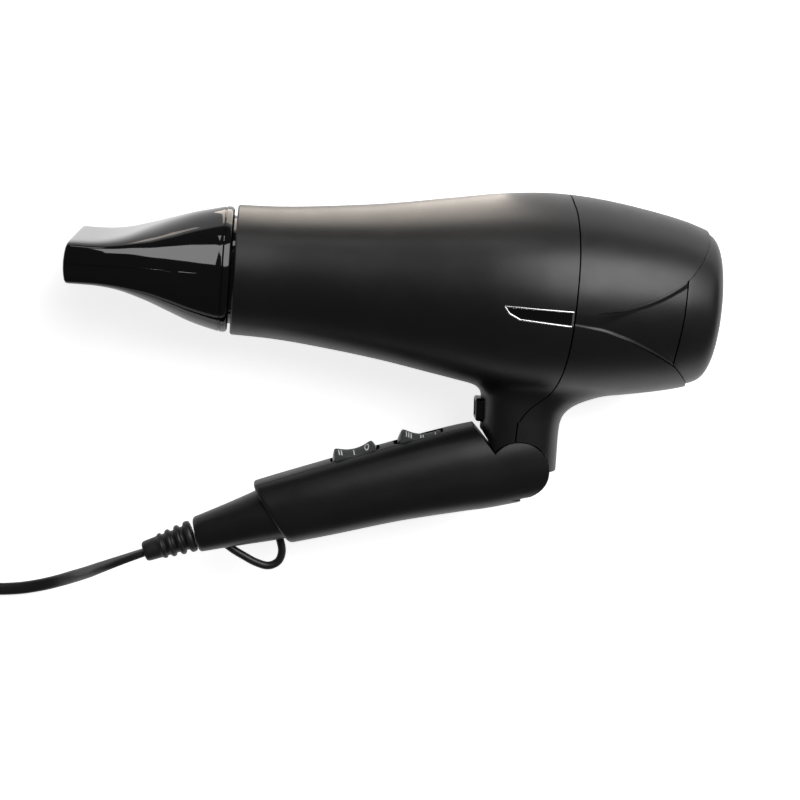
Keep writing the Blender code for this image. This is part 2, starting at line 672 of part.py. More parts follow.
def make_rockers(handle):
    """Saddle-topped rockers that tilt about a cross axis below the panel."""
    half = ROCKER_LENGTH / 2
    top = [(-half + 2.0, 7.5), (-half + 4.4, 7.0), (-3.0, 5.9), (3.0, 5.9), (half - 4.4, 7.0),
           (half - 2.0, 7.5)]
    outline = [(-half, 3.0), *top, (half, 3.0), (3.0, -2.6), (-3.0, -2.6)]
    for word, (x, tilt) in ROCKERS.items():
        rocker = prism("rocker", outline, -ROCKER_WIDTH / 2, ROCKER_WIDTH / 2)
        finished(rocker, f"{word}_rocker", "switch_grey")
        rocker.data.transform(Matrix.Rotation(math.radians(tilt), 4, "Z"))
        rocker.location = Vector((x, ROCKER_PIVOT_Y, 0)) * MM
        in_handle(rocker, handle)


def make_tail(handle):
    """The tail cone behind the handle's raked end, its strain relief and its hanging loop."""
    stations = [(TAIL_END_X, TAIL_END_Y, 7.4, 7.4), (-122.0, 2.2, 9.2, 10.0), (-106.0, 3.2, 11.3, 12.4),
                (-99.0, 3.5, 12.0, 13.0)]
    rings = [[(x, cy + y, z) for y, z in oval(half, wide, 24, 2.2)] for x, cy, half, wide in stations]
    tail = loft("tail", rings)
    raked = [(-108.8, 14.0), (-94.9, -26.0), (-80.0, -26.0), (-80.0, 30.0), (-106.0, 30.0), (-107.8, 17.0)]
    cut(tail, prism("raked", raked, -30, 30))
    cut(tail, cylinder("channel", (-142.0, 1.6, 0), (1, 0.02, 0), 3.6, 60.0, 16))
    loop_points = smooth_line(HANG_LOOP, 2.6)
    cut(tail, tube("socket", loop_points, HANG_LOOP_R + GAP, 3))
    in_handle(finished(tail, "handle_tail", "soft_black"), handle)
    in_handle(finished(tube("loop", loop_points, HANG_LOOP_R, 2), "hang_loop", "rubber_black"), handle)
    profile = [(0.3, 6.3), (1.0, 6.7), (3.0, 6.6), (3.6, 5.2), (4.8, 5.2), (5.4, 6.4), (7.2, 6.2), (7.8, 4.9),
               (9.0, 4.9), (9.6, 5.9), (11.2, 5.7), (11.8, 4.7), (12.8, 4.7), (13.4, 5.5), (14.8, 5.3),
               (15.4, 4.7), (20.6, 4.4), (22.2, 3.6)]
    relief = turned("relief", profile, 20)
    turn = Matrix.Rotation(math.radians(180.0 + RELIEF_TILT_DEG), 4, "Z")
    relief.data.transform(Matrix.Translation(((TAIL_END_X - 0.8) * MM, TAIL_END_Y * MM, 0)) @ turn)
    in_handle(finished(relief, "strain_relief", "rubber_black"), handle)


HANG_LOOP_R = 1.7
HANG_LOOP = [(-127.6, -4.2, 0), (-124.2, -8.4, 0), (-120.4, -12.2, 0), (-116.2, -16.0, 0), (-111.4, -18.7, 0),
             (-106.9, -17.9, 0), (-104.4, -14.4, 0), (-103.9, -10.0, 0), (-104.4, -5.2, 0)]


# ---- Lead and plug ----

def smooth_line(points, spacing):
    """Points at about this spacing along a smooth curve through the given points."""
    points = [Vector(point) for point in points]
    padded = [2 * points[0] - points[1], *points, 2 * points[-1] - points[-2]]
    dense = []
    for a, b, c, d in zip(padded, padded[1:], padded[2:], padded[3:]):
        for i in range(20):
            t = i / 20
            dense.append(0.5 * (2 * b + (c - a) * t + (2 * a - 5 * b + 4 * c - d) * t * t
                                + (3 * b - a - 3 * c + d) * t ** 3))
    dense.append(points[-1])
    total = sum((q - p).length for p, q in zip(dense, dense[1:]))
    count = max(2, round(total / spacing))
    kept, along, wanted = [dense[0]], 0.0, total / count
    for p, q in zip(dense, dense[1:]):
        along += (q - p).length
        if along >= wanted and len(kept) < count:
            kept.append(q)
            wanted += total / count
    return kept + [dense[-1]]


def on_surface(points):
    """Route points, whose z is above the surface, in the design frame."""
    return [(x, y, z - LIFT) for x, y, z in points]


def make_lead():
    for name, route in (("lead", CORD_ROUTE), ("lead_end", LEAD_END_ROUTE)):
        line = smooth_line(on_surface(route), 2.4 * CORD_THICK)
        finished(tube(name, line, CORD_THICK / 2, 2), name, "rubber_black")
    low = COIL_BOTTOM - LIFT
    half, high = COIL_BUNDLE_W / 2, low + COIL_BUNDLE_H
    section = [(low, COIL_MID_R - half + 3), (low + 3, COIL_MID_R - half), (high - 3, COIL_MID_R - half),
               (high, COIL_MID_R - half + 3), (high, COIL_MID_R + half - 3), (high - 3, COIL_MID_R + half),
               (low + 3, COIL_MID_R + half), (low, COIL_MID_R + half - 3)]
    coil = ring_of("coil", section, 40)
    stand = Matrix.Translation((COIL_X * MM, COIL_Y * MM, 0)) @ Matrix.Rotation(math.radians(-90), 4, "Y")
    coil.data.transform(stand)
    finished(coil, "lead_coil", "rubber_black")
    tie_x = COIL_X - 3.0
    near, far = COIL_Y + COIL_MID_R - COIL_BUNDLE_W / 2, COIL_Y + COIL_MID_R + COIL_BUNDLE_W / 2
    tie = box("tie", (tie_x, near - 1.6, low - 1.1), (tie_x + 6, far + 1.6, high + 1.2))
    cut(tie, box("room", (tie_x - 1, near - 0.6, low - 0.3), (tie_x + 7, far + 0.6, high + 0.3)))
    finished(tie, "lead_tie", "rubber_black", smooth=False)


def make_plug():
    """A flat-faced two-pin plug lying on its side, its pins along +Y."""
    z = PLUG_Z - LIFT
    sizes = [(0.0, 8.0, 7.0), (3.0, 11.0, 9.5), (12.0, 13.5, 11.4), (24.0, 17.0, 12.7),
             (PLUG_BODY_L, 17.5, 12.8)]
    rings = [[(PLUG_X + x, PLUG_REAR_Y + along, z + up) for x, up in oval(wide, high, 28, 3.0)]
             for along, wide, high in sizes]
    body = loft("plug", rings)
    relief = [(-PLUG_RELIEF_LENGTH, 3.0), (-12.0, 3.8), (0.5, 5.4)]
    union(body, loft("relief", [[(PLUG_X + r * math.cos(a), PLUG_REAR_Y + along, z + r * math.sin(a))
                                 for a in (math.tau * i / 16 for i in range(16))] for along, r in relief]))
    face_y = PLUG_REAR_Y + PLUG_BODY_L
    for side, word in ((-1, "a"), (1, "b")):
        x = PLUG_X + side * PLUG_PIN_SPACING / 2
        cut(body, cylinder("hole", (x, face_y + 1, z), (0, -1, 0), PLUG_PIN_R + GAP, 9.0, 16))
        pin = union(cylinder("pin", (x, face_y - 7.6, z), (0, 1, 0), PLUG_PIN_R, PLUG_PIN_LENGTH + 6.0, 16),
                    cylinder("tip", (x, face_y + PLUG_PIN_LENGTH - 1.8, z), (0, 1, 0), PLUG_PIN_R, 1.8, 16,
                             end_radius=1.2))
        finished(pin, f"plug_pin_{word}", "brass")
    finished(body, "plug_body", "rubber_black")


def main():
    clear_scene()
    make_housings()
    make_trim()
    make_heater()
    make_fan()
    make_filter_cap()
    make_nozzle()
    make_cool_shot()
    make_neck_screw_holes()
    make_lead()
    make_plug()
    handle = bpy.data.objects.new("handle_axis", None)
    bpy.context.scene.collection.objects.link(handle)
    make_handle(handle)
    make_handle_inside(handle)
    make_rockers(handle)
    make_tail(handle)
    handle.matrix_world = HANDLE_FRAME
    shift = Vector((WORLD_X, WORLD_Y, LIFT)) * MM
    for obj in bpy.data.objects:
        if obj.parent is None:
            obj.location += shift


main()
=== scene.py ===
"""The looks of the travel hair dryer: fine skins, the flat lead and its coil, materials, light, camera.

Lengths are in mm in the design frame (barrel axis on X, front edge of the barrel at X = 0, plane of
symmetry at Z = 0) or in the handle's frame (origin on the fold hinge, the tail on -X). The DESIGN and
HANDLE matrices put them in the world. The camera's distance, the lights and the floor are in metres.
"""

import math

import bmesh
import bpy
import numpy as np
from mathutils import Matrix, Vector


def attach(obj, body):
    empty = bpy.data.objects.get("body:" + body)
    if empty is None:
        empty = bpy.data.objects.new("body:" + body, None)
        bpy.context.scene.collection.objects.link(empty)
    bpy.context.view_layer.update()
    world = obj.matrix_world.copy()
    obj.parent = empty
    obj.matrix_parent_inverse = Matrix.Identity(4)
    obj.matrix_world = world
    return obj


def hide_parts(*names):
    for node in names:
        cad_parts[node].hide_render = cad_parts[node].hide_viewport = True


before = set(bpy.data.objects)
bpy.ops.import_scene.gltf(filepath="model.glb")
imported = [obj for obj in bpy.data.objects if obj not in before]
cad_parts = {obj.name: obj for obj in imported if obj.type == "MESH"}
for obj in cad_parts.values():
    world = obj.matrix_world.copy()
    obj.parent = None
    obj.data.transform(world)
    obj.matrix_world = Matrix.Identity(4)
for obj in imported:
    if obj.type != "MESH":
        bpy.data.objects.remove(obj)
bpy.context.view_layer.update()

MM = 0.001
PLACE = Vector((-67.3, 42.3, 42.3))
HINGE = Vector((124.0, -74.2, 0.0))
FOLDED_DEG = 17.0
DESIGN = Matrix.Scale(MM, 4) @ Matrix.Translation(PLACE)
HANDLE = DESIGN @ Matrix.Translation(HINGE) @ Matrix.Rotation(math.radians(FOLDED_DEG), 4, "Z")


# ---- Camera, light and floor ----

VIEW_CENTRE = (73.1, -49.7, 0.0)
VIEW_TILT = (-0.07, 0.165)
VIEW_ROLL = -0.0811
VIEW_DISTANCE = 0.92
VIEW_WIDTH = 0.336
SENSOR = 36.0
FLOOR_REACH = 14.0
FLOOR_DROP = 0.0005
FLOOR_GLOW = 0.40
FLOOR_GLOW_SEEN = 0.80
SURROUND_LIGHT = 0.08
SURROUND_SEEN = 1.1
WARM = (1.0, 0.88, 0.76)


def look_at(obj, target, up):
    """Turns a camera or an area light so that its -Z points at the target."""
    back = (obj.location - target).normalized()
    right = Vector(up).cross(back).normalized()
    obj.rotation_euler = Matrix((right, back.cross(right), back)).transposed().to_euler()


def make_camera():
    """A long lens high above the dryer's side."""
    camera = bpy.data.objects.new("camera", bpy.data.cameras.new("camera"))
    bpy.context.scene.collection.objects.link(camera)
    target = DESIGN @ Vector(VIEW_CENTRE)
    camera.location = target + Vector((*VIEW_TILT, 1.0)).normalized() * VIEW_DISTANCE
    look_at(camera, target, (VIEW_ROLL, 1.0, 0.0))
    camera.data.sensor_width = SENSOR
    camera.data.lens = SENSOR * VIEW_DISTANCE / VIEW_WIDTH
    camera.data.clip_end = 20.0
    bpy.context.scene.camera = camera


def area_light(name, place, size, power, target, colour=(1, 1, 1)):
    """A softbox that the camera doesn't see."""
    light = bpy.data.lights.new(name, "AREA")
    light.shape = "RECTANGLE"
    light.size, light.size_y = size
    light.energy = power
    light.color = colour
    obj = bpy.data.objects.new(name, light)
    bpy.context.scene.collection.objects.link(obj)
    obj.location = place
    obj.visible_camera = False
    look_at(obj, Vector(target), (0.0, 1.0, 0.02))


def by_ray(tree, socket, seen, otherwise):
    """One strength for what the camera sees of a surface, another for the light it gives."""
    rays = tree.nodes.new("ShaderNodeLightPath")
    strength = tree.nodes.new("ShaderNodeMapRange")
    strength.inputs["To Min"].default_value = otherwise
    strength.inputs["To Max"].default_value = seen
    tree.links.new(rays.outputs["Is Camera Ray"], strength.inputs["Value"])
    tree.links.new(strength.outputs["Result"], socket)


def make_floor():
    """A wide white floor, lit a little from within like a light table."""
    bm = bmesh.new()
    bmesh.ops.create_grid(bm, x_segments=1, y_segments=1, size=FLOOR_REACH)
    mesh = bpy.data.meshes.new("floor")
    bm.to_mesh(mesh)
    bm.free()
    floor = bpy.data.objects.new("floor", mesh)
    bpy.context.scene.collection.objects.link(floor)
    floor.location.z = -FLOOR_DROP
    paint = bpy.data.materials.new("floor_paint")
    paint.use_nodes = True
    shader = paint.node_tree.nodes["Principled BSDF"]
    shader.inputs["Base Color"].default_value = (0.92, 0.92, 0.92, 1)
    shader.inputs["Roughness"].default_value = 0.9
    shader.inputs["Specular IOR Level"].default_value = 0.1
    shader.inputs["Emission Color"].default_value = (1, 1, 1, 1)
    by_ray(paint.node_tree, shader.inputs["Emission Strength"], FLOOR_GLOW_SEEN, FLOOR_GLOW)
    mesh.materials.append(paint)


def make_surround():
    """A studio that looks white to the camera and lights the object softly from all round."""
    world = bpy.data.worlds.new("studio")
    world.use_nodes = True
    tree = world.node_tree
    background = tree.nodes["Background"]
    background.inputs["Color"].default_value = (1, 1, 1, 1)
    by_ray(tree, background.inputs["Strength"], SURROUND_SEEN, SURROUND_LIGHT)
    bpy.context.scene.world = world
    bpy.context.scene.view_settings.view_transform = "Standard"


def make_stage():
    """A big softbox over the back, a small one for the collar, and a warm strip lying behind the barrel."""
    make_floor()
    make_surround()
    area_light("key_softbox", (0.48, 0.66, 0.98), (1.0, 0.88), 14.5, (0.05, 0.0, 0.04))
    area_light("collar_softbox", (-0.12, 0.98, 0.52), (0.16, 0.20), 0.45, (-0.08, 0.04, 0.04))
    area_light("back_edge_light", (-0.02, 0.250, 0.003), (0.13, 0.31), 0.47, (-0.02, 0.250, 1.0), WARM)


# ---- Making and joining meshes ----

def object_from(bm, name, matrix=DESIGN):
    """The bmesh as an object whose vertices are in place in the world, its faces turned outwards."""
    bmesh.ops.recalc_face_normals(bm, faces=bm.faces)
    bmesh.ops.transform(bm, matrix=matrix, verts=bm.verts)
    mesh = bpy.data.meshes.new(name)
    bm.to_mesh(mesh)
    bm.free()
    obj = bpy.data.objects.new(name, mesh)
    bpy.context.scene.collection.objects.link(obj)
    return obj


def grid_mesh(name, rings, matrix=DESIGN, closed=False):
    """A solid through rings of points: capped at both ends, or closed round on itself."""
    bm = bmesh.new()
    loops = [[bm.verts.new(point) for point in ring] for ring in rings]
    for first, second in zip(loops, loops[1:] + (loops[:1] if closed else [])):
        for i in range(len(first)):
            j = (i + 1) % len(first)
            bm.faces.new((first[i], first[j], second[j], second[i]))
    if not closed:
        bm.faces.new(loops[0])
        bm.faces.new(loops[-1])
    return object_from(bm, name, matrix)


def prism(name, outline, low, high, matrix=DESIGN):
    """An (x, y) outline drawn out from one height to another."""
    bm = bmesh.new()
    face = bm.faces.new([bm.verts.new((x, y, low)) for x, y in outline])
    grown = bmesh.ops.extrude_face_region(bm, geom=[face])
    moved = [item for item in grown["geom"] if isinstance(item, bmesh.types.BMVert)]
    bmesh.ops.translate(bm, verts=moved, vec=(0, 0, high - low))
    return object_from(bm, name, matrix)


def box(name, low, high, matrix=DESIGN):
    corners = [(low[0], low[1]), (high[0], low[1]), (high[0], high[1]), (low[0], high[1])]
    return prism(name, corners, low[2], high[2], matrix)


def circle(x, radius, sides, centre_y=0.0):
    angles = [math.tau * i / sides for i in range(sides)]
    return [(x, centre_y + radius * math.cos(angle), radius * math.sin(angle)) for angle in angles]


def rounded_rectangle(x, y, width, height, radius, per_corner=5):
    """An outline with its corners as arcs, about a middle point."""
    points = []
    for corner, (sx, sy) in enumerate(((1, 1), (-1, 1), (-1, -1), (1, -1))):
        for i in range(per_corner + 1):
            angle = math.radians(90 * (corner + i / per_corner))
            points.append((x + sx * (width / 2 - radius) + radius * math.cos(angle),
                           y + sy * (height / 2 - radius) + radius * math.sin(angle)))
    return points


def ring_of(name, profile, sides=96, centre_y=0.0, matrix=DESIGN):
    """A closed (x, radius) profile turned about a line parallel to X."""
    return grid_mesh(name, [circle(x, radius, sides, centre_y) for x, radius in profile], matrix, closed=True)


def cylinder(name, start, axis, radius, length, sides=48, matrix=DESIGN):
    """A round bar from the middle of its first end face along an axis."""
    turn = Vector(axis).to_track_quat("X", "Z").to_matrix().to_4x4()
    place = matrix @ Matrix.Translation(start) @ turn
    return grid_mesh(name, [circle(0, radius, sides), circle(length, radius, sides)], place)


def combine(obj, other, operation):
    """Puts a Boolean of the two meshes in obj and removes the other."""
    modifier = obj.modifiers.new("combine", "BOOLEAN")
    modifier.object = other
    modifier.operation = operation
    modifier.solver = "MANIFOLD"
    bpy.context.view_layer.update()
    result = bpy.data.meshes.new_from_object(obj.evaluated_get(bpy.context.evaluated_depsgraph_get()))
    if not len(result.polygons):
        raise RuntimeError(f"{operation} left nothing of {obj.name}")
    obj.modifiers.clear()
    obj.data = result
    bpy.data.objects.remove(other)
    return obj


def cut(obj, *others):
    for other in others:
        combine(obj, other, "DIFFERENCE")
    return obj


def union(obj, *others):
    for other in others:
        combine(obj, other, "UNION")
    return obj


def common(obj, other):
    return combine(obj, other, "INTERSECT")


def copy_of(obj, name):
    made = bpy.data.objects.new(name, obj.data.copy())
    bpy.context.scene.collection.objects.link(made)
    return made


def shown(obj, name, body, material, *nodes, angle=32.0):
    """Names a finished piece, shades it, puts it on its body and hides the CAD nodes that it stands for."""
    obj.name = name
    obj.data.name = name
    obj.data.materials.clear()
    obj.data.materials.append(material)
    obj.data.shade_smooth()
    obj.data.set_sharp_from_angle(angle=math.radians(angle))
    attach(obj, body)
    if nodes:
        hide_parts(*nodes)
    return obj


def smooth_through(points, per_span=12):
    """Points on a Catmull-Rom curve through the given points, of any dimension."""
    points = np.array(points, float)
    padded = np.vstack([2 * points[0] - points[1], points, 2 * points[-1] - points[-2]])
    t = np.arange(per_span)[:, None] / per_span
    spans = [
        0.5 * (2 * b + (c - a) * t + (2 * a - 5 * b + 4 * c - d) * t**2 + (3 * b - a - 3 * c + d) * t**3)
        for a, b, c, d in zip(padded, padded[1:], padded[2:], padded[3:])
    ]
    return np.vstack([*spans, points[-1:]])


def read_at(table, at):
    """The other columns of a table, read between its rows at a value of its first column, which rises."""
    return [np.interp(at, table[:, 0], column) for column in table.T[1:]]


def smooth_step(value):
    value = np.clip(value, 0, 1)
    return value * value * (3 - 2 * value)


def evenly(points, spacing):
    """Points at an even spacing along a curve."""
    steps = np.linalg.norm(np.diff(points, axis=0), axis=1)
    along = np.concatenate([[0.0], np.cumsum(steps)])
    wanted = np.linspace(0.0, along[-1], max(2, round(along[-1] / spacing)) + 1)
    return np.stack([np.interp(wanted, along, column) for column in np.asarray(points, float).T], axis=1)


def oval(half_a, half_b, sides, power):
    """A superellipse's points, none of them on its axes."""
    points = []
    for i in range(sides):
        angle = math.tau * (i + 0.5) / sides
        c, s = math.cos(angle), math.sin(angle)
        points.append((half_a * math.copysign(abs(c) ** (2 / power), c),
                       half_b * math.copysign(abs(s) ** (2 / power), s)))
    return points


# ---- Head: barrel and neck as one smooth skin ----
# The barrel's stations are (x, radius, drop of its middle); the neck's are (y, front x, rear x, half width).

BARREL = smooth_through([
    (-8.0, 26.9, 0.0), (0.0, 26.9, 0.0), (18.0, 27.5, 0.0), (37.0, 29.3, 0.1), (62.0, 32.5, 0.3),
    (87.0, 36.8, 0.5), (106.0, 40.1, 0.6), (122.0, 41.9, 0.7), (134.0, 42.3, 0.7), (147.0, 41.7, 0.8),
    (160.0, 40.2, 0.9), (175.0, 37.7, 1.0), (185.0, 35.6, 1.1), (192.0, 33.6, 1.2), (200.0, 30.6, 1.2),
])
NECK = smooth_through([
    (-84.0, 107.8, 141.0, 16.6), (-73.8, 107.8, 141.0, 16.6), (-58.0, 107.8, 140.7, 16.9),
    (-52.2, 107.4, 141.4, 17.0), (-48.6, 107.2, 143.4, 17.2), (-45.3, 107.0, 147.4, 17.6),
    (-42.2, 106.8, 152.5, 18.2), (-38.0, 106.3, 158.0, 19.0), (-30.0, 105.5, 163.0, 20.0),
])
NECK_SQUARENESS = 2.4
BLEND = 5.0
STEP = 1.3
SEAM = smooth_through([
    (136.6, 60.0), (136.6, 41.4), (137.6, 34.8), (138.1, 21.2), (137.8, 6.5), (137.3, -14.8), (135.9, -30.6),
    (133.4, -39.6), (126.2, -46.6), (122.4, -52.1), (121.3, -57.5), (121.3, -95.0),
])
SEAM_GAP = 0.6
WEDGE_TOP = smooth_through([
    (133.0, -2.4), (146.5, -2.4), (157.0, -0.5), (162.6, 1.5), (171.0, 4.9), (179.7, 9.7), (183.5, 12.5),
    (187.8, 17.4), (191.4, 22.4), (193.5, 26.4), (195.0, 29.2), (195.6, 32.0),
])
WEDGE_FOOT = smooth_through([
    (133.0, -8.0), (137.5, -8.1), (149.2, -9.6), (156.0, -11.5), (161.2, -13.2), (165.6, -15.1),
    (172.6, -18.2), (180.1, -22.2), (183.6, -24.8), (189.2, -30.6), (191.4, -34.0),
])
WEDGE_DEPTH = 0.9
CAP_SEAM = [
    (195.8, 45.0), *WEDGE_TOP[72:].tolist()[::-1], (182.8, -2.2), (181.6, -17.9), *WEDGE_FOOT[88:].tolist(),
    (191.2, -45.0),
]
CREASE_DEPTH = 1.7
TOP_CREASE = [(146.0, 0.1), (156.0, 0.6), (166.0, 1.2), (177.0, 1.2), (184.0, 0.8)]
FOOT_CREASE = [(158.0, 0.1), (166.0, 0.4), (182.5, 0.45)]
WALL = 2.0
HINGE_BORE_R = 2.58
BUTTON_Y = -50.8


def barrel_distance(x, y, z):
    """About how far a point is outside the barrel's skin."""
    radius, drop = read_at(BARREL, x)
    return np.hypot(y + drop, z) - radius


def neck_distance(x, y, z):
    """About how far a point is outside the neck's skin, the neck ending inside the barrel."""
    front, rear, half = read_at(NECK, y)
    depth = (rear - front) / 2
    along, across = np.abs(x - (front + rear) / 2) / depth, np.abs(z) / half
    reach = (along**NECK_SQUARENESS + across**NECK_SQUARENESS) ** (1 / NECK_SQUARENESS)
    column = (reach - 1) * np.minimum(depth, half)
    return np.maximum(column, y + 22.0)


def wedge_recess(x, y):
    """How deep the fish-tail wedge behind the trim lies below the skin round it."""
    (top,), (foot,) = read_at(WEDGE_TOP, x), read_at(WEDGE_FOOT, x)
    rise = np.diff(WEDGE_TOP[:, 1]) / np.diff(WEDGE_TOP[:, 0])
    lean = 1 / np.hypot(1, np.interp(x, WEDGE_TOP[1:, 0], rise))
    edge = 7.0 - 5.2 * smooth_step((x - 141.0) / 22.0)
    depth = WEDGE_DEPTH * (0.5 + 0.5 * smooth_step((x - 138.0) / 30.0)) * smooth_step((x - 136.0) / 1.2)
    return depth * smooth_step((top - y) * lean / edge) * smooth_step((y - foot) / 1.3)


def head_distance(p):
    """About how far each point is outside the head: barrel and neck blended, the wedges let in."""
    a, b = barrel_distance(*p.T), neck_distance(*p.T)
    mix = np.clip(0.5 + 0.5 * (b - a) / BLEND, 0, 1)
    skin = b * (1 - mix) + a * mix - BLEND * mix * (1 - mix) + wedge_recess(p[:, 0], p[:, 1])
    return np.maximum.reduce([skin, p[:, 0] - 199.0, -1.5 - p[:, 0], -75.5 - p[:, 1]])


def slope(distance, p, reach=0.05):
    """The distance at each point and its gradient."""
    steps = np.eye(3) * reach
    gradient = np.stack([distance(p + s) - distance(p - s) for s in steps], axis=1) / (2 * reach)
    return distance(p), gradient


def settled(distance, places):
    """The points moved onto the zero surface of a distance function."""
    for _ in range(2):
        value, gradient = slope(distance, places)
        places = places - gradient * (value / np.maximum((gradient**2).sum(1), 1e-6))[:, None]
    return places


def crossing_quads(inside, number):
    """For each two neighbouring samples that the surface parts, the four numbered cells round them."""
    quads = []
    for axis in range(3):
        b, c = (axis + 1) % 3, (axis + 2) % 3
        change = np.argwhere(np.diff(inside.astype(int), axis=axis) != 0)
        change = change[(change[:, b] > 0) & (change[:, c] > 0)]
        quad = []
        for db, dc in ((0, 0), (1, 0), (1, 1), (0, 1)):
            cell = change.copy()
            cell[:, b] -= db
            cell[:, c] -= dc
            quad.append(number[tuple(cell.T)])
        quads.append(np.stack(quad, axis=1))
    quads = np.vstack(quads)
    return quads[(quads >= 0).all(axis=1)]


def relaxed(distance, places, quads):
    """The points evened out along the surface, each drawn to the middle of its neighbours."""
    ends = np.vstack([quads[:, [0, 1]], quads[:, [1, 2]], quads[:, [2, 3]], quads[:, [3, 0]]])
    for _ in range(6):
        total, count = np.zeros_like(places), np.zeros(len(places))
        for a, b in ((0, 1), (1, 0)):
            np.add.at(total, ends[:, a], places[ends[:, b]])
            np.add.at(count, ends[:, a], 1)
        places = settled(distance, total / np.maximum(count, 1)[:, None])
    return places


def refine_creases(bm, distance):
    """Splits the faces along the wedge's edges twice and settles the new points on the surface."""
    for _ in range(2):
        split = [edge for edge in bm.edges if all(near_crease(vert.co) for vert in edge.verts)]
        bmesh.ops.subdivide_edges(bm, edges=split, cuts=1, use_grid_fill=True)
        bm.verts.ensure_lookup_table()
        places = settled(distance, np.array([vert.co for vert in bm.verts]))
        for vert, place in zip(bm.verts, places):
            vert.co = place
    bmesh.ops.triangulate(bm, faces=[face for face in bm.faces if len(face.verts) > 4])


def skin_mesh(name, distance, low, high, step):
    """The zero surface of a distance function, as quads relaxed along it."""
    axes = [np.arange(a, b + step, step) for a, b in zip(low, high)]
    shape = tuple(len(axis) for axis in axes)
    points = np.stack(np.meshgrid(*axes, indexing="ij"), axis=-1).reshape(-1, 3)
    inside = (distance(points) < 0).reshape(shape)
    corners = sum(inside[i:shape[0] - 1 + i, j:shape[1] - 1 + j, k:shape[2] - 1 + k].astype(int)
                  for i in (0, 1) for j in (0, 1) for k in (0, 1))
    cells = (corners > 0) & (corners < 8)
    number = np.full(cells.shape, -1)
    number[cells] = np.arange(cells.sum())
    places = np.argwhere(cells) * step + np.array([axis[0] for axis in axes]) + step / 2
    quads = crossing_quads(inside, number)
    places = relaxed(distance, places, quads)
    bm = bmesh.new()
    verts = [bm.verts.new(place) for place in places]
    for quad in quads:
        bm.faces.new([verts[i] for i in quad])
    refine_creases(bm, distance)
    return object_from(bm, name)


def near_crease(point):
    """True on the skin close to the wedge's edges, where the mesh is made finer."""
    if not (136.0 < point.x < 199.0 and abs(point.z) > 8.0):
        return False
    reach = 4.0 if point.x < 184.0 else 7.0
    return any(abs(point.y - read_at(line, point.x)[0]) < reach for line in (WEDGE_TOP, WEDGE_FOOT))


# ---- The lead: a flat two-core cord and its coil, up to the plug ----
# The points of the routes and the heights of the coil's turns are measured up from the floor.

LEAD_WIDTH, LEAD_THICK = 5.4, 3.4
LEAD_SIDES = 20
LEAD_ROUTE = [
    (-29.6, -122.4, 42.3), (-35.6, -125.0, 42.1), (-42.0, -128.2, 40.4), (-48.5, -132.4, 34.6),
    (-54.5, -137.0, 26.0), (-60.5, -141.4, 17.0), (-67.5, -145.8, 9.2), (-76.0, -149.6, 4.2),
    (-86.0, -152.2, 2.2), (-98.0, -153.2, 2.0), (-110.0, -152.0, 2.4), (-121.5, -151.2, 2.7),
    (-133.0, -151.6, 3.0),
]
PLUG_ROUTE = [
    (-180.3, -94.5, 8.0), (-178.2, -89.5, 9.0), (-174.8, -85.2, 10.4), (-171.2, -81.4, 11.8),
    (-169.0, -77.6, 12.7), (-168.2, -73.6, 13.0),
]
COIL_CENTRE = (-147.0, -118.0)
COIL_START_DEG, COIL_END_DEG = -95.0, -208.0
COIL_TURNS = [(35.6, 3.0), (30.0, 3.0), (24.4, 3.0), (24.4, 6.5), (30.0, 6.5), (30.0, 10.0), (35.6, 10.0),
              (35.6, 6.5), (41.0, 7.4)]
POINTS_PER_TURN = 40
LEAD_STEP = 1.8
TWIST_LENGTH = 70.0


def coil_points():
    """The turns of the coil, each at its own radius and height, easing into the next over its last part."""
    last = 360.0 * (len(COIL_TURNS) - 1) + COIL_START_DEG - COIL_END_DEG
    points = []
    for i in range(int(last / 360.0 * POINTS_PER_TURN) + 1):
        turn, part = divmod(i / POINTS_PER_TURN, 1.0)
        here = COIL_TURNS[int(turn)]
        there = COIL_TURNS[min(int(turn) + 1, len(COIL_TURNS) - 1)]
        ease = smooth_step((part - 0.82) / 0.18)
        radius, height = (a + (b - a) * ease for a, b in zip(here, there))
        angle = math.radians(COIL_START_DEG) - math.tau * (turn + part)
        x, y = COIL_CENTRE
        points.append((x + radius * math.cos(angle), y + radius * math.sin(angle), height))
    return points


def lead_section():
    """The cord's outline, its wide side along a, with a shallow groove between the cores on each face."""
    return [(a, b * (1 - 0.13 * math.exp(-(a / 0.55) ** 2)))
            for a, b in oval(LEAD_WIDTH / 2, LEAD_THICK / 2, LEAD_SIDES, 2.5)]


def make_lead(rubber):
    """The whole lead as one tube, its wide side upright at the strain relief and flat on the floor."""
    route = smooth_through([*LEAD_ROUTE, *coil_points(), *PLUG_ROUTE], 6)
    line = evenly(route - np.array([0.0, 0.0, PLACE.z]), LEAD_STEP)
    tangents = np.gradient(line, axis=0)
    tangents /= np.linalg.norm(tangents, axis=1)[:, None]
    rings = []
    for i, (point, tangent) in enumerate(zip(line, tangents)):
        level = Vector((0, 0, 1)).cross(Vector(tangent)).normalized()
        upright = Vector(tangent).cross(level)
        turn = math.pi / 2 * max(0.0, 1.0 - i * LEAD_STEP / TWIST_LENGTH)
        wide = level * math.cos(turn) + upright * math.sin(turn)
        thin = upright * math.cos(turn) - level * math.sin(turn)
        rings.append([Vector(point) + wide * a + thin * b for a, b in lead_section()])
    lead = grid_mesh("cord_lead", rings)
    shown(lead, "cord_lead", "handle", rubber, "lead", "lead_end", "lead_coil", angle=60)


# ---- Housings ----

def barrel_solid(name, shift, first_x, last_x):
    """The barrel's skin moved outwards by shift, as a solid of its own."""
    count = max(2, int((last_x - first_x) / 1.5) + 1)
    rings = []
    for x in np.linspace(first_x, last_x, count):
        radius, drop = read_at(BARREL, x)
        rings.append(circle(x, radius + shift, 128, -drop))
    return grid_mesh(name, rings)


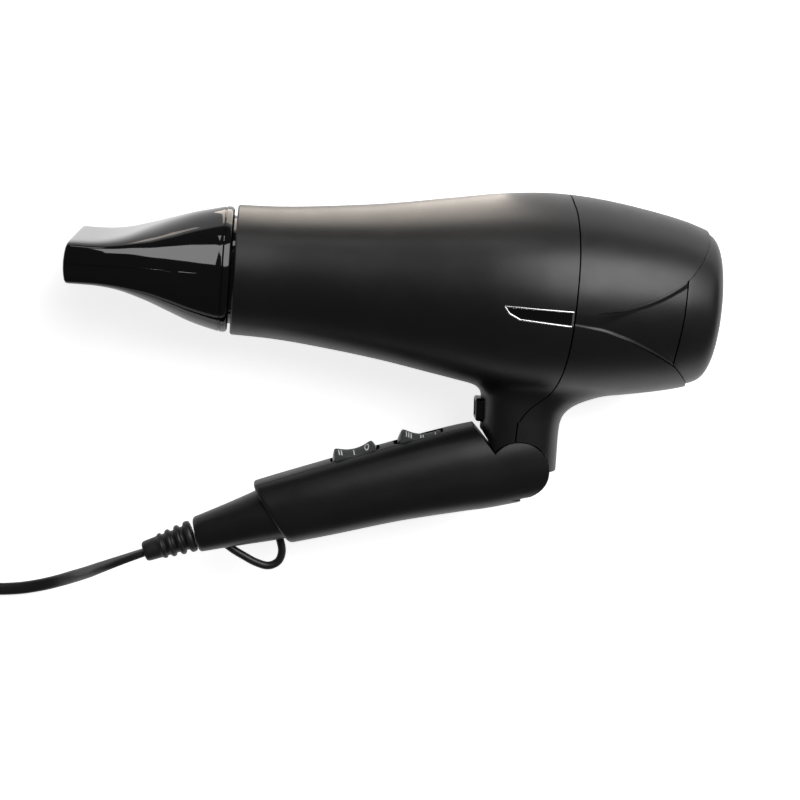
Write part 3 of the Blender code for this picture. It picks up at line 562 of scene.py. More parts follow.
def neck_solid(name, inset, low_y, high_y):
    """A stretch of the neck with its skin moved inwards by inset."""
    rings = []
    for y in np.linspace(low_y, high_y, 30):
        front, rear, half = read_at(NECK, y)
        outline = oval((rear - front) / 2 - inset, half - inset, 96, NECK_SQUARENESS)
        rings.append([((front + rear) / 2 + a, y, b) for a, b in outline])
    return grid_mesh(name, rings)


def seam_cutter(shift, rear):
    """Everything on one side of the housing's seam, moved along X by shift."""
    far = 260.0 if rear else -60.0
    line = [(x + shift, y) for x, y in SEAM]
    return prism("seam", [*line, (far, line[-1][1]), (far, line[0][1])], -60.0, 60.0)


def cap_side(shift, far):
    """Everything on one side of the filter cap's curved seam, moved along X by shift."""
    return prism("cap_side", [*[(x + shift, y) for x, y in CAP_SEAM], (far, -45.0), (far, 45.0)], -60.0, 60.0)


def hinge_room():
    """The space of the handle's ears, and the notch in front of them that the ears turn through."""
    room = cylinder("room", (*HINGE.xy, -30.0), (0, 0, 1), 13.1, 60.0, 96)
    corner = prism("corner", [(100.0, -57.5), (108.1, -59.2), (115.2, -68.9), tuple(HINGE.xy),
                              (124.0, -90.0), (100.0, -90.0)], -30.0, 30.0)
    return union(room, corner)


def make_housings(paint):
    """The front housing with the hinge's knuckle, and the rear cover with its wedge and creases."""
    skin = skin_mesh("skin", head_distance, (-4.0, -79.0, -45.5), (202.0, 45.5, 45.5), STEP)
    cut(skin, box("front", (-60.0, -60.0, -60.0), (0.0, 60.0, 60.0)))
    cut(skin, ring_of("chamfer", [(-3.0, 26.2), (0.0, 26.2), (0.9, 27.2), (0.9, 32.0), (-3.0, 32.0)], 128))
    cut(skin, cap_side(-SEAM_GAP / 2, 260.0))
    cut(skin, box("below", (60.0, -100.0, -60.0), (200.0, -73.8, 60.0)))
    cut(skin, hinge_room())
    cut(skin, barrel_solid("inside", -WALL, -8.0, 199.0), neck_solid("neck_inside", WALL, -52.0, -30.5))
    rear = copy_of(skin, "rear")
    front = cut(skin, seam_cutter(-SEAM_GAP / 2, rear=True))
    cut(rear, seam_cutter(SEAM_GAP / 2, rear=False))
    knuckle = cylinder("knuckle", (*HINGE.xy, -9.7), (0, 0, 1), 11.0, 19.4, 96)
    stem = box("stem", (116.0, -74.2, -9.7), (134.0, -53.9, 9.7))
    union(front, union(knuckle, stem))
    cut(front, cylinder("bore", (*HINGE.xy, -20.0), (0, 0, 1), HINGE_BORE_R, 40.0))
    cut(front, prism("hole", rounded_rectangle(107.2, BUTTON_Y, 14.4, 10.4, 1.5), -6.0, 6.0))
    cut(front, *[trim_shape("recess", side, 0.3, -1.4) for side in (1, -1)])
    cut(rear, box("stem_room", (115.0, -90.0, -10.1), (134.4, -53.6, 10.1)))
    for side in (1, -1):
        cut(rear, crease_cutter("top_crease", WEDGE_TOP, TOP_CREASE, side))
        cut(rear, crease_cutter("foot_crease", WEDGE_FOOT, FOOT_CREASE, side))
    shown(front, "skin_front_housing", "head", paint, "front_housing")
    shown(rear, "skin_rear_cover", "head", paint, "rear_cover")


def crease_cutter(name, line, widths, side):
    """A slot of changing width along a line on the barrel's side, down to its depth below the skin."""
    path = evenly(line[(line[:, 0] > widths[0][0]) & (line[:, 0] < widths[-1][0])], 1.2)
    ahead = np.gradient(path, axis=0)
    across = np.stack([-ahead[:, 1], ahead[:, 0]], axis=1) / np.linalg.norm(ahead, axis=1)[:, None]
    half = np.interp(path[:, 0], [x for x, _ in widths], [width / 2 for _, width in widths])[:, None]
    outline = [*(path + across * half).tolist(), *(path - across * half).tolist()[::-1]]
    low, high = (8.0, 50.0) if side > 0 else (-50.0, -8.0)
    return cut(prism(name, outline, low, high), barrel_solid("under", -CREASE_DEPTH, 130.0, 200.0))


# ---- Side trims ----

TRIM = [(109.0, -2.2), (136.7, -2.4), (136.6, -8.4), (115.5, -7.1), (111.2, -5.0)]
TRIM_MIDDLE = (126.7, -4.2)
TRIM_BAR_R = 0.42
TRIM_BAR_SUNK = 0.12


def trim_shape(name, side, grow, depth):
    """The trim's outline on the barrel's side, grown a little, as a layer of the skin from depth up."""
    grown = [(x + math.copysign(grow, x - TRIM_MIDDLE[0]), y + math.copysign(grow, y - TRIM_MIDDLE[1]))
             for x, y in TRIM]
    low, high = (34.0, 50.0) if side > 0 else (-50.0, -34.0)
    made = prism(name, grown, low, high)
    cut(made, barrel_solid("under", depth, 95.0, 160.0))
    return common(made, barrel_solid("over", 0.8, 90.0, 165.0))


def skin_height(x, y):
    """Half the barrel's width at a place on its side."""
    radius, drop = read_at(BARREL, x)
    return math.sqrt(radius**2 - (y + drop) ** 2)


def trim_bar(side):
    """A round bar along the trim's outline, sunk a little in the barrel's skin."""
    path = evenly(np.array([*TRIM, TRIM[0]]), 0.35)[:-1]
    angles = [math.tau * i / 14 for i in range(14)]
    rings = []
    for before, (x, y), after in zip(np.roll(path, 1, 0), path, np.roll(path, -1, 0)):
        ahead = Vector((*(after - before), 0)).normalized()
        across = Vector((-ahead.y, ahead.x, 0)) * TRIM_BAR_R
        outward = Vector((0, 0, side)) * TRIM_BAR_R
        centre = Vector((x, y, side * (skin_height(x, y) - TRIM_BAR_SUNK)))
        rings.append([centre + across * math.cos(angle) + outward * math.sin(angle) for angle in angles])
    return grid_mesh("bar", rings, closed=True)


def make_trims(chrome, gloss):
    """A rounded bright bar round each trim's edge, and a polished inlay inside it."""
    for side, word in ((1, "left"), (-1, "right")):
        bar = trim_bar(side)
        shown(bar, f"skin_trim_frame_{word}", "head", chrome, f"trim_frame_{word}", angle=50)
        inlay = common(trim_shape("inlay", side, 0.2, -1.0), barrel_solid("top", -0.3, 90.0, 165.0))
        shown(inlay, f"skin_trim_inlay_{word}", "head", gloss, f"trim_inlay_{word}")


# ---- Filter cap and nozzle ----

CAP_AXIS_Y = -1.2
CAP_LEAN = 0.02
CAP_OUTSIDE = smooth_through([
    (176.0, 36.4), (180.0, 35.7), (184.0, 34.9), (187.0, 34.1), (190.0, 33.2), (193.0, 32.2), (195.2, 31.3),
    (197.0, 30.2), (198.4, 28.6), (199.4, 26.6), (200.0, 24.5), (200.4, 22.4), (200.6, 21.0),
], 4)
CAP_SLEEVE_R = 29.2
CAP_BORE_R = 27.8
CAP_OPEN_X, CAP_FLOOR_X = 176.0, 196.4
DOME = [(200.45, 21.0), (200.8, 17.5), (201.1, 13.0), (201.3, 8.0), (201.4, 3.0), (201.4, 0.6)]


def lean(obj):
    """Leans the cap's end face a little, its top further back."""
    for vert in obj.data.vertices:
        y = vert.co.y / MM - PLACE.y - CAP_AXIS_Y
        fade = smooth_step((vert.co.x / MM - PLACE.x - 192.0) / 8.0)
        vert.co.x += float(CAP_LEAN * y * fade) * MM
    return obj


def make_filter_cap(paint):
    """The cap's rounded skin up to its curved seam, with the sleeve that slides inside the rear cover."""
    inner = [(198.8, 21.0), (198.0, 24.0), (CAP_FLOOR_X, CAP_BORE_R), (CAP_OPEN_X, CAP_BORE_R)]
    cap = ring_of("cap", [*CAP_OUTSIDE.tolist(), *inner], 144, CAP_AXIS_Y)
    cut(cap, cap_side(SEAM_GAP / 2, 100.0))
    sleeve = [(CAP_OPEN_X, CAP_BORE_R), (CAP_FLOOR_X, CAP_BORE_R), (CAP_FLOOR_X, CAP_SLEEVE_R),
              (CAP_OPEN_X, CAP_SLEEVE_R)]
    union(cap, ring_of("sleeve", sleeve, 144, CAP_AXIS_Y))
    shown(lean(cap), "skin_filter_cap", "filter_cap", paint, "filter_cap", angle=28)


def intake_ring(radius):
    """One round bar of the grille, its front edges rounded, lying on the dome."""
    x = float(np.interp(radius, [r for _, r in reversed(DOME)], [x for x, _ in reversed(DOME)]))
    section = [(-1.6, -0.5), (-0.15, -0.5), (0.0, -0.3), (0.0, 0.3), (-0.15, 0.5), (-1.6, 0.5)]
    return ring_of("bar", [(x + a, radius + b) for a, b in section], 72, CAP_AXIS_Y)


def intake_spoke(angle_deg):
    """A thin bar from the grille's middle to its rim, following the dome."""
    turn = Matrix.Translation((0, CAP_AXIS_Y, 0)) @ Matrix.Rotation(math.radians(angle_deg), 4, "X")
    front = [(x - 0.35, r) for x, r in DOME]
    back = [(x - 1.7, r) for x, r in reversed(DOME)]
    return prism("spoke", [*front, (199.4, 22.4), (198.2, 22.4), *back], -0.45, 0.45, DESIGN @ turn)


def make_intake(paint):
    """The domed grille in the cap's end: round bars joined by nine spokes."""
    bars = [intake_ring(radius) for radius in (2.2, 5.0, 7.8, 10.6, 13.4, 16.2, 19.0)]
    spokes = [intake_spoke(40 * i + 10) for i in range(9)]
    grille = union(bars[0], *bars[1:], *spokes)
    shown(lean(grille), "intake_bars", "filter_cap", paint)


# The nozzle's stations are (x, half height, half width, squareness), turned round to run with X.
NOZZLE = smooth_through([
    (-1.2, 25.6, 25.6, 2.0), (-3.3, 26.1, 26.1, 2.0), (-7.5, 25.2, 26.0, 2.1), (-16.8, 22.6, 27.5, 2.3),
    (-26.1, 18.9, 30.5, 2.7), (-35.4, 14.8, 34.2, 3.5), (-44.7, 11.0, 37.2, 5.5), (-54.0, 9.1, 38.6, 8.0),
    (-67.0, 8.6, 39.2, 11.0),
], 8)[::-1]
NOZZLE_SIDES = 160
MOUTH_RISE = 1.8
MOUTH_BOW = 1.2


def resampled(outline, sides):
    """The closed outline with its points at even spacing, the first one on the +a axis."""
    closed = np.array([*outline, outline[0]])
    return evenly(closed, np.linalg.norm(np.diff(closed, axis=0), axis=1).sum() / sides)[:-1]


def mouth_rise(x):
    """How far the nozzle's middle line has risen at a station, toward its mouth."""
    return MOUTH_RISE * smooth_step((-8.0 - x) / 40.0)


def nozzle_ring(x, inset, wanted_x=None):
    """The nozzle's outline at a station, moved inwards by inset, with the mouth's top and foot bowed back."""
    half_y, half_z, power = read_at(NOZZLE, x)
    angles = np.linspace(0, math.tau, 2000, endpoint=False)
    c, s = np.cos(angles), np.sin(angles)
    outline = np.stack([(half_y - inset) * np.sign(c) * np.abs(c) ** (2 / power),
                        (half_z - inset) * np.sign(s) * np.abs(s) ** (2 / power)], axis=1)
    points = resampled(outline, NOZZLE_SIDES)
    bow = MOUTH_BOW * smooth_step((-48.0 - x) / 19.0)
    start = x if wanted_x is None else wanted_x
    return [(start + bow * (y / half_y) ** 2, y + mouth_rise(x), z) for y, z in points]


def make_nozzle(gloss):
    """The concentrator as one shell: skin with a rim band, rolled lip, duct, and the sleeve behind it."""
    lip = ((-66.4, 1.6, -66.6), (-66.9, 1.2, -66.95), (-67.0, 0.6, -66.9), (-66.8, 0.15, -66.6),
           (-66.2, 0.0, None))
    band = ((-4.9, 0.05), (-4.7, 0.3), (-4.4, 0.3), (-4.2, 0.0), (-2.4, 0.0), (-1.7, 0.1), (-1.3, 0.5))
    sleeve = ((-1.2, 24.6), (-1.2, 22.6), (-1.0, 22.4), (8.4, 22.4), (9.0, 21.9), (9.0, 20.9), (-5.9, 20.8))
    rings = [nozzle_ring(*station) for station in lip]
    rings += [nozzle_ring(x, 0.0) for x in np.linspace(-65.0, -5.2, 58)]
    rings += [nozzle_ring(x, inset) for x, inset in band]
    rings += [circle(x, radius, NOZZLE_SIDES) for x, radius in sleeve]
    rings += [nozzle_ring(x, 1.9) for x in np.linspace(-12.0, -65.4, 38)]
    shown(grid_mesh("nozzle_skin", rings, closed=True), "skin_nozzle", "nozzle", gloss, "nozzle", angle=35)


def make_nozzle_ridges(gloss):
    """The fine parting ridge along each side of the nozzle, fading toward the barrel."""
    section = [(0.0, -0.28), (0.22, -0.12), (0.22, 0.12), (0.0, 0.28), (-0.4, 0.28), (-0.4, -0.28)]
    for side, word in ((1, "left"), (-1, "right")):
        rings = []
        for x in np.linspace(-66.0, -13.0, 46):
            _, half_z, _ = read_at(NOZZLE, x)
            fade = min(1.0, (-12.0 - x) / 20.0)
            rings.append([(x, b + mouth_rise(x), side * (half_z + a * fade)) for a, b in section])
        shown(grid_mesh("ridge", rings), f"nozzle_ridge_{word}", "nozzle", gloss)


# ---- Handle, in its own frame ----
# The handle's stations are (x, top, foot, half width).

HANDLE_SHAPE = smooth_through([
    (-116.0, 17.3, -10.0, 13.4), (-104.0, 18.2, -10.6, 14.0), (-85.0, 19.4, -11.0, 15.2),
    (-54.0, 21.1, -11.5, 16.0), (-27.0, 22.1, -13.4, 16.6), (-13.0, 22.0, -14.6, 16.8),
    (14.0, 21.0, -15.4, 16.8),
])
HANDLE_SQUARENESS = 2.6
HANDLE_SIDES = 128
TAIL_RAKE = -0.3475
RAKE_TOP = (-108.4, 14.0)
PANEL_HALF = 6.0
PANEL_END_X = -14.0
GROOVE = 0.4
EAR_R = 12.6
ROCKER_PIVOT_Y = 16.6
UPRIGHT = Matrix.Rotation(math.radians(-90), 4, "X")
ROCKERS = {"speed": -64.9, "heat": -37.3}
HEAT_TILT_DEG = -14.0


def handle_ring(s, inset, skew=1.0):
    """A ring of the handle's skin; near the tail it lies in the raked plane of the handle's end."""
    top, foot, half = read_at(HANDLE_SHAPE, s)
    fade = skew * (1 - smooth_step((s - RAKE_TOP[0]) / 50.0))
    middle = (top + foot) / 2
    return [(s + fade * TAIL_RAKE * (middle + b - RAKE_TOP[1]), middle + b, a)
            for a, b in oval(half - inset, (top - foot) / 2 - inset, HANDLE_SIDES, HANDLE_SQUARENESS)]


def handle_solid():
    """The whole handle without its hollows: rounded at the raked tail end, with its ears at the hinge."""
    first = RAKE_TOP[0]
    rounding = ((0.0, 1.4), (0.12, 0.9), (0.45, 0.4), (1.0, 0.1), (1.6, 0.0))
    rings = [handle_ring(first + ahead, inset) for ahead, inset in rounding]
    rings += [handle_ring(s, 0.0) for s in np.linspace(first + 3.0, 13.5, 84)]
    solid = grid_mesh("handle", rings, HANDLE)
    angles = np.radians(np.linspace(130.0, -94.0, 61))
    ears = [(EAR_R * math.cos(angle), EAR_R * math.sin(angle)) for angle in angles]
    side = [(-150.0, 30.0), (-13.6, 30.0), (-13.6, 21.5), *ears,
            (-2.7, -15.1), (-2.7, -26.0), (-150.0, -26.0)]
    return common(solid, prism("side", side, -30.0, 30.0, HANDLE))


def panel_slab(name, half, low, end_x):
    """The space of the front panel: a strip along the handle's top, down to a little below the skin."""
    top = [(x, y + 6.0) for x, y, _, _ in HANDLE_SHAPE if x < end_x]
    foot = [(x, y - low) for x, y, _, _ in HANDLE_SHAPE if x < end_x]
    outline = [*foot, (end_x, foot[-1][1]), (end_x, top[-1][1]), *reversed(top)]
    return prism(name, outline, -half, half, HANDLE)


def make_handle(paint):
    """The handle's shell and its front panel, hollowed and bored, with the rockers' holes in both."""
    solid = handle_solid()
    cut(solid, cylinder("room", (0, 0, -11.3), (0, 0, 1), EAR_R + 0.7, 22.6, 96, HANDLE))
    panel = common(copy_of(solid, "panel"), panel_slab("strip", PANEL_HALF, 3.0, PANEL_END_X))
    shell = cut(solid, panel_slab("slot", PANEL_HALF + GROOVE, 3.4, PANEL_END_X + GROOVE))
    cut(shell, grid_mesh("cavity", [handle_ring(s, 3.4, 0.0) for s in np.linspace(-92.0, -19.0, 30)], HANDLE))
    cut(shell, grid_mesh("tail_room", [tail_ring(x, 0.6) for x in np.linspace(-125.0, -91.0, 20)], HANDLE))
    cut(shell, cylinder("bore", (0, 0, -20.0), (0, 0, 1), HINGE_BORE_R, 35.0, matrix=HANDLE))
    cut(shell, cylinder("plunger_bore", (-22.0, 0, 0), (1, 0, 0), 2.1, 12.0, matrix=HANDLE))
    for x in (-88.0, -34.0):
        cut(shell, cylinder("hole", (x, -16.0, 0), (0, 1, 0), 2.7, 10.0, matrix=HANDLE))
    for x in ROCKERS.values():
        hole = rounded_rectangle(x, 0.0, 21.6, 10.3, 2.4)
        for piece in (panel, shell):
            cut(piece, prism("hole", hole, -10.0, 12.0, HANDLE @ Matrix.Translation((0, 16.0, 0)) @ UPRIGHT))
    shown(shell, "skin_handle_shell", "handle", paint, "handle_shell")
    shown(panel, "skin_handle_panel", "handle", paint, "handle_front_panel")


# ---- Tail, hanging loop and strain relief, in the handle's frame ----
# The tail's stations are (x, middle, half height, half width); the relief's outline is (along, radius).

TAIL = smooth_through([
    (-138.0, 1.3, 7.4, 7.4), (-122.0, 2.2, 9.2, 10.0), (-106.0, 3.2, 11.3, 12.4), (-90.0, 4.0, 13.0, 13.4),
])
HANG_LOOP_R = 1.7
HANG_LOOP = [
    (-127.6, -4.2, 0), (-124.2, -8.4, 0), (-120.4, -12.2, 0), (-116.2, -16.0, 0), (-111.4, -18.7, 0),
    (-106.9, -17.9, 0), (-104.4, -14.4, 0), (-103.9, -10.0, 0), (-104.4, -5.2, 0),
]
RELIEF = [
    (0.3, 5.9), (0.6, 6.5), (1.6, 6.75), (2.7, 6.6), (3.3, 5.7), (3.7, 5.2), (4.7, 5.2), (5.1, 5.8),
    (5.6, 6.35), (6.5, 6.4), (7.1, 6.0), (7.5, 5.2), (7.9, 4.9), (8.9, 4.9), (9.3, 5.4), (9.8, 5.9),
    (10.6, 5.95), (11.3, 5.5), (11.7, 4.9), (12.7, 4.7), (13.1, 5.0), (13.6, 5.45), (14.3, 5.45),
    (15.0, 5.0), (15.6, 4.7), (18.0, 4.55), (20.6, 4.4), (21.7, 4.1), (22.1, 3.5), (22.2, 2.9),
]


def tail_ring(x, grow):
    middle, high, wide = read_at(TAIL, x)
    return [(x, middle + b, a) for a, b in oval(wide + grow, high + grow, 96, 2.2)]


def tube(name, points, radius, matrix):
    """A round bar along a smooth curve through points that lie in one level plane."""
    line = evenly(smooth_through(points), 0.9)
    angles = [math.tau * i / 28 for i in range(28)]
    rings = []
    for point, tangent in zip(line, np.gradient(line, axis=0)):
        across = Vector((0, 0, 1))
        normal = across.cross(Vector(tangent)).normalized()
        rings.append([Vector(point) + across * radius * math.sin(angle) + normal * radius * math.cos(angle)
                      for angle in angles])
    return grid_mesh(name, rings, matrix)


def make_tail(paint, rubber):
    """The tail cone with its rounded end, the hanging loop through it and the ribbed strain relief."""
    rounding = ((-138.0, -1.6), (-137.9, -0.9), (-137.5, -0.3), (-136.8, 0.0))
    rings = [tail_ring(x, grow) for x, grow in rounding]
    rings += [tail_ring(x, 0.0) for x in np.linspace(-135.0, -93.0, 40)]
    tail = grid_mesh("tail", rings, HANDLE)
    inside = [(-104.5, 14.0), (-90.6, -26.0), (-60.0, -26.0), (-60.0, 30.0), (-104.5, 30.0)]
    cut(tail, prism("inside", inside, -30.0, 30.0, HANDLE))
    cut(tail, cylinder("channel", (-142.0, 1.6, 0), (1, 0.02, 0), 3.6, 60.0, matrix=HANDLE))
    cut(tail, tube("socket", HANG_LOOP, HANG_LOOP_R + 0.25, HANDLE))
    shown(tail, "skin_tail", "handle", paint, "handle_tail")
    shown(tube("loop", HANG_LOOP, HANG_LOOP_R, HANDLE), "hang_cord", "handle", rubber, "hang_loop", angle=60)
    turn = Matrix.Translation((-138.8, 1.3, 0)) @ Matrix.Rotation(math.radians(185.9), 4, "Z")
    profile = [(0.3, 2.6), *smooth_through(RELIEF, 5).tolist(), (22.2, 2.6)]
    relief = ring_of("relief", profile, 72, matrix=HANDLE @ turn)
    shown(relief, "skin_strain_relief", "handle", rubber, "strain_relief", angle=60)


# ---- Switches ----

ROCKER_TOP = smooth_through([
    (-9.9, 3.4), (-9.3, 5.0), (-8.6, 6.6), (-7.9, 7.4), (-7.0, 7.4), (-5.6, 6.9), (-3.0, 6.1), (0.0, 5.8),
    (3.0, 6.1), (5.6, 6.9), (7.0, 7.4), (7.9, 7.4), (8.6, 6.6), (9.3, 5.0), (9.9, 3.4),
], 5)
ROCKER_HALF = 4.75
ROCKER_CROWN = 2.4
MARKS = {"speed": ((-5.9, 2), (-0.3, 1), (5.4, 0)), "heat": ((-5.4, 3), (0.2, 2), (5.8, 1))}


def rocker_top(x, z):
    """Height of a rocker's crowned top above its pivot."""
    height = float(np.interp(x, ROCKER_TOP[:, 0], ROCKER_TOP[:, 1]))
    return height - min(ROCKER_CROWN, height - 1.9) * (z / ROCKER_HALF) ** 2


def rocker_solid(place):
    """A rocker: its crowned top, narrower toward both ends, on a post round the pivot."""
    rings = []
    for station in ROCKER_TOP[:, 0]:
        half = ROCKER_HALF - 1.4 * max(0.0, (abs(station) - 8.2) / 1.7) ** 2
        top = [(station, rocker_top(station, z), z) for z in np.linspace(-half, half, 17)]
        rings.append([*top, (station, 1.6, half - 0.3), (station, 1.6, 0.3 - half)])
    post = prism("post", [(-4.0, 2.2), (4.0, 2.2), (2.6, -2.6), (-2.6, -2.6)], -3.6, 3.6, place)
    return union(grid_mesh("rocker", rings, place), post)


def make_rockers(grey, gloss, white):
    """Both rockers with dished tops and polished end faces, the heat rocker tilted."""
    for word, x in ROCKERS.items():
        tilt = Matrix.Rotation(math.radians(HEAT_TILT_DEG if word == "heat" else 0.0), 4, "Z")
        place = HANDLE @ Matrix.Translation((x, ROCKER_PIVOT_Y, 0)) @ tilt
        rocker = rocker_solid(place)
        shown(rocker, f"skin_{word}_rocker", f"{word}_rocker", grey, f"{word}_rocker", angle=40)
        rocker.data.materials.append(gloss)
        along = (HANDLE @ tilt).to_3x3() @ Vector((1, 0, 0))
        for face in rocker.data.polygons:
            if abs(face.normal.dot(along.normalized())) > 0.62:
                face.material_index = 1
        make_marks(word, place, white)


def mark_strokes(middle, count):
    """The strokes of a rocker's numeral: bars for 1 to 3, a ring for 0."""
    if count == 0:
        angles = np.linspace(0, math.tau, 33)
        return [[(middle + 0.85 * math.cos(angle), 2.9 + 1.3 * math.sin(angle)) for angle in angles]]
    places = [middle + bar - (count - 1) / 2 for bar in range(count)]
    return [[(x, z) for z in np.linspace(1.6, 4.2, 9)] for x in places]


def mark_rings(stroke):
    """A stroke as a thin raised band on the rocker's top."""
    rings = []
    for i, (x, z) in enumerate(stroke):
        ahead = Vector(stroke[min(i + 1, len(stroke) - 1)]) - Vector(stroke[max(i - 1, 0)])
        side = Vector((-ahead.y, ahead.x)).normalized() * 0.21
        ring = []
        for way, lift in ((-1, -0.1), (1, -0.1), (1, 0.05), (-1, 0.05)):
            a, b = x + way * side.x, z + way * side.y
            ring.append((a, rocker_top(a, b) + lift, b))
        rings.append(ring)
    return rings


def make_marks(word, place, white):
    """The printed numerals on a rocker's top."""
    for number, (middle, count) in enumerate(MARKS[word]):
        for part, stroke in enumerate(mark_strokes(middle, count)):
            mark = grid_mesh("mark", mark_rings(stroke), place)
            shown(mark, f"mark_{word}_{number}_{part}", f"{word}_rocker", white)


def make_button(gloss):
    """The cool-shot button: a rounded key with a dished front face."""
    profile = ((110.6, 0.3), (110.5, 0.0), (105.9, 0.0), (105.3, 0.15), (104.9, 0.5), (104.75, 1.0),
               (104.8, 1.3), (105.25, 1.7), (105.3, 3.0))
    rings = []
    for x, inset in profile:
        lean_back = -0.06 if x < 106.0 else 0.0
        outline = rounded_rectangle(0.0, 0.0, 9.8 - 2 * inset, 11.0 - 2 * inset, max(0.3, 1.7 - inset), 6)
        rings.append([(x + lean_back * y, BUTTON_Y + y, z) for y, z in outline])
    shown(grid_mesh("button", rings), "skin_cool_button", "cool_button", gloss, "cool_button", angle=40)


# ---- Materials ----

def node_of(tree, kind, **values):
    """A shader node with its properties, or its inputs by name, set."""
    node = tree.nodes.new(kind)
    for key, value in values.items():
        if hasattr(node, key):
            setattr(node, key, value)
        else:
            node.inputs[key.replace("_", " ")].default_value = value
    return node


def noise_of(tree, scale, detail=3.0, stretch=(1, 1, 1)):
    """Noise in the piece's own coordinates, in features per metre, stretched along its axes."""
    place = node_of(tree, "ShaderNodeTexCoord")
    mapping = node_of(tree, "ShaderNodeMapping", Scale=stretch)
    noise = node_of(tree, "ShaderNodeTexNoise", Scale=scale, Detail=detail, Roughness=0.55)
    tree.links.new(place.outputs["Object"], mapping.inputs["Vector"])
    tree.links.new(mapping.outputs["Vector"], noise.inputs["Vector"])
    return noise.outputs["Fac"]


def ranged(tree, fac, low, high):
    """A factor that runs over its middle part, as a value from low to high."""
    node = node_of(tree, "ShaderNodeMapRange")
    for name, value in (("From Min", 0.3), ("From Max", 0.7), ("To Min", low), ("To Max", high)):
        node.inputs[name].default_value = value
    tree.links.new(fac, node.inputs["Value"])
    return node.outputs["Result"]


def mixed(tree, fac, first, second):
    """A factor that runs over its middle part, as a colour from first to second."""
    ramp = node_of(tree, "ShaderNodeValToRGB")
    ramp.color_ramp.elements[0].position, ramp.color_ramp.elements[1].position = 0.3, 0.7
    ramp.color_ramp.elements[0].color = (*first, 1)
    ramp.color_ramp.elements[1].color = (*second, 1)
    tree.links.new(fac, ramp.inputs["Fac"])
    return ramp.outputs["Color"]


def finish_of(name, colours, roughness, grain, depth, patches=40.0, stretch=(1, 1, 1), fixed=()):
    """A moulded, metal or sheet finish: colour in patches, roughness and relief in its own grain.

    grain is in features per metre and depth is the relief's height in mm."""
    paint = bpy.data.materials.new(name)
    paint.use_nodes = True
    tree = paint.node_tree
    shader = tree.nodes["Principled BSDF"]
    for key, value in fixed:
        shader.inputs[key].default_value = value
    tree.links.new(mixed(tree, noise_of(tree, patches, 4.0, stretch), *colours), shader.inputs["Base Color"])
    fine = noise_of(tree, grain, 2.0, stretch)
    smudge = node_of(tree, "ShaderNodeMix", Factor=0.45)
    tree.links.new(noise_of(tree, patches * 2.3, 3.0, stretch), smudge.inputs["A"])
    tree.links.new(fine, smudge.inputs["B"])
    tree.links.new(ranged(tree, smudge.outputs["Result"], *roughness), shader.inputs["Roughness"])
    bump = node_of(tree, "ShaderNodeBump", Strength=1.0, Distance=depth * MM)
    tree.links.new(fine, bump.inputs["Height"])
    tree.links.new(bump.outputs["Normal"], shader.inputs["Normal"])
    return paint


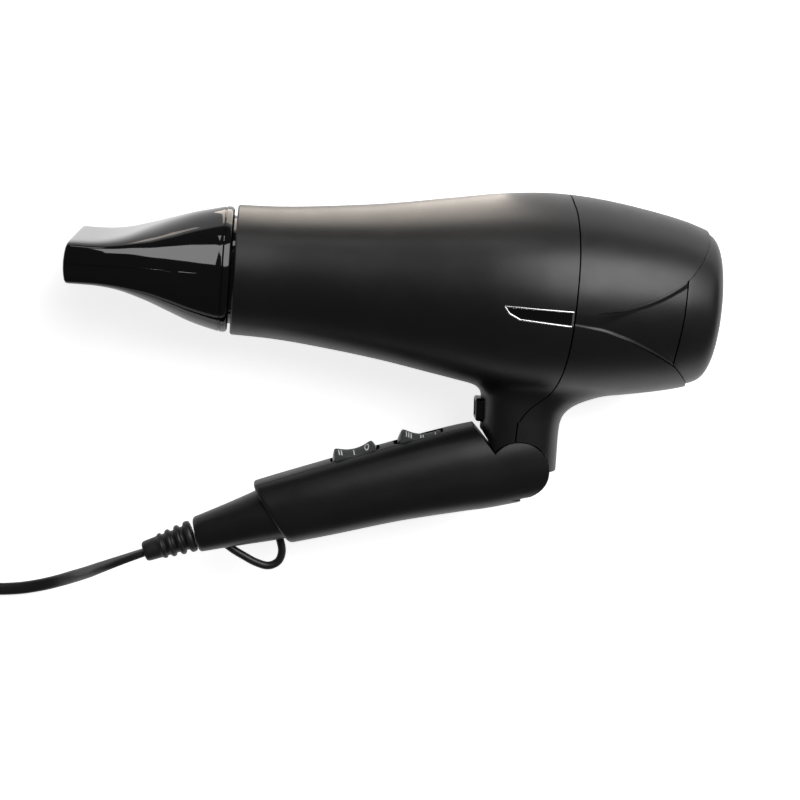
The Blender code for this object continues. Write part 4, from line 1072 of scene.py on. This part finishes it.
def make_finishes():
    """Every finish by its slot's name; the printed white shares the white plastic's slot."""
    metal = (("Metallic", 1.0),)
    finishes = {
        "soft_black": finish_of(
            "soft_touch_black", ((0.0058, 0.0058, 0.0060), (0.0078, 0.0078, 0.0080)),
            (0.32, 0.42), 1800.0, 0.006, fixed=(("Specular IOR Level", 0.5),)),
        "gloss_black": finish_of(
            "polished_black", ((0.0025, 0.0025, 0.0028), (0.0035, 0.0035, 0.004)),
            (0.03, 0.075), 160.0, 0.0015, fixed=(("Specular IOR Level", 0.45),)),
        "chrome": finish_of(
            "bright_chrome", ((0.74, 0.74, 0.75), (0.84, 0.84, 0.84)),
            (0.16, 0.26), 900.0, 0.002, fixed=metal),
        "switch_grey": finish_of(
            "satin_grey", ((0.050, 0.054, 0.054), (0.060, 0.064, 0.064)), (0.36, 0.48), 2200.0, 0.01),
        "rubber_black": finish_of(
            "satin_rubber", ((0.009, 0.009, 0.0095), (0.014, 0.014, 0.014)), (0.34, 0.48), 1500.0, 0.012),
        "mica": finish_of(
            "mica_sheet", ((0.50, 0.43, 0.31), (0.62, 0.55, 0.42)), (0.25, 0.55), 420.0, 0.05, 160.0),
        "steel": finish_of(
            "brushed_steel", ((0.50, 0.50, 0.51), (0.60, 0.60, 0.61)),
            (0.22, 0.38), 1400.0, 0.008, 60.0, (0.12, 1, 1), metal),
        "heater_wire": finish_of(
            "oxidised_wire", ((0.30, 0.24, 0.20), (0.46, 0.42, 0.40)),
            (0.30, 0.55), 1800.0, 0.01, 220.0, fixed=metal),
        "brass": finish_of(
            "turned_brass", ((0.70, 0.52, 0.22), (0.80, 0.62, 0.30)),
            (0.18, 0.32), 1600.0, 0.006, 60.0, (1, 0.15, 1), metal),
        "white_plastic": finish_of(
            "natural_nylon", ((0.68, 0.67, 0.62), (0.78, 0.77, 0.73)), (0.38, 0.52), 1300.0, 0.012),
        "board_green": finish_of(
            "solder_mask", ((0.02, 0.14, 0.06), (0.035, 0.20, 0.09)), (0.18, 0.34), 700.0, 0.02, 300.0),
        "print_white": finish_of(
            "printed_white", ((0.62, 0.63, 0.63), (0.74, 0.74, 0.74)), (0.42, 0.55), 3000.0, 0.004),
    }
    for slot, paint in finishes.items():
        paint["slot"] = slot
    finishes["print_white"]["slot"] = "white_plastic"
    return finishes


def paint_cad_nodes(finishes):
    """Gives every CAD piece that still shows the finish of its slot."""
    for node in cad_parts.values():
        for slot in node.material_slots:
            slot.material = finishes[slot.material.name]


# ---- The whole scene ----

def main():
    make_camera()
    finishes = make_finishes()
    paint_cad_nodes(finishes)
    make_lead(finishes["rubber_black"])
    make_housings(finishes["soft_black"])
    make_trims(finishes["chrome"], finishes["gloss_black"])
    make_filter_cap(finishes["soft_black"])
    make_intake(finishes["gloss_black"])
    make_nozzle(finishes["gloss_black"])
    make_nozzle_ridges(finishes["gloss_black"])
    make_handle(finishes["soft_black"])
    make_tail(finishes["soft_black"], finishes["rubber_black"])
    make_rockers(finishes["switch_grey"], finishes["gloss_black"], finishes["print_white"])
    make_button(finishes["gloss_black"])
    make_stage()


main()
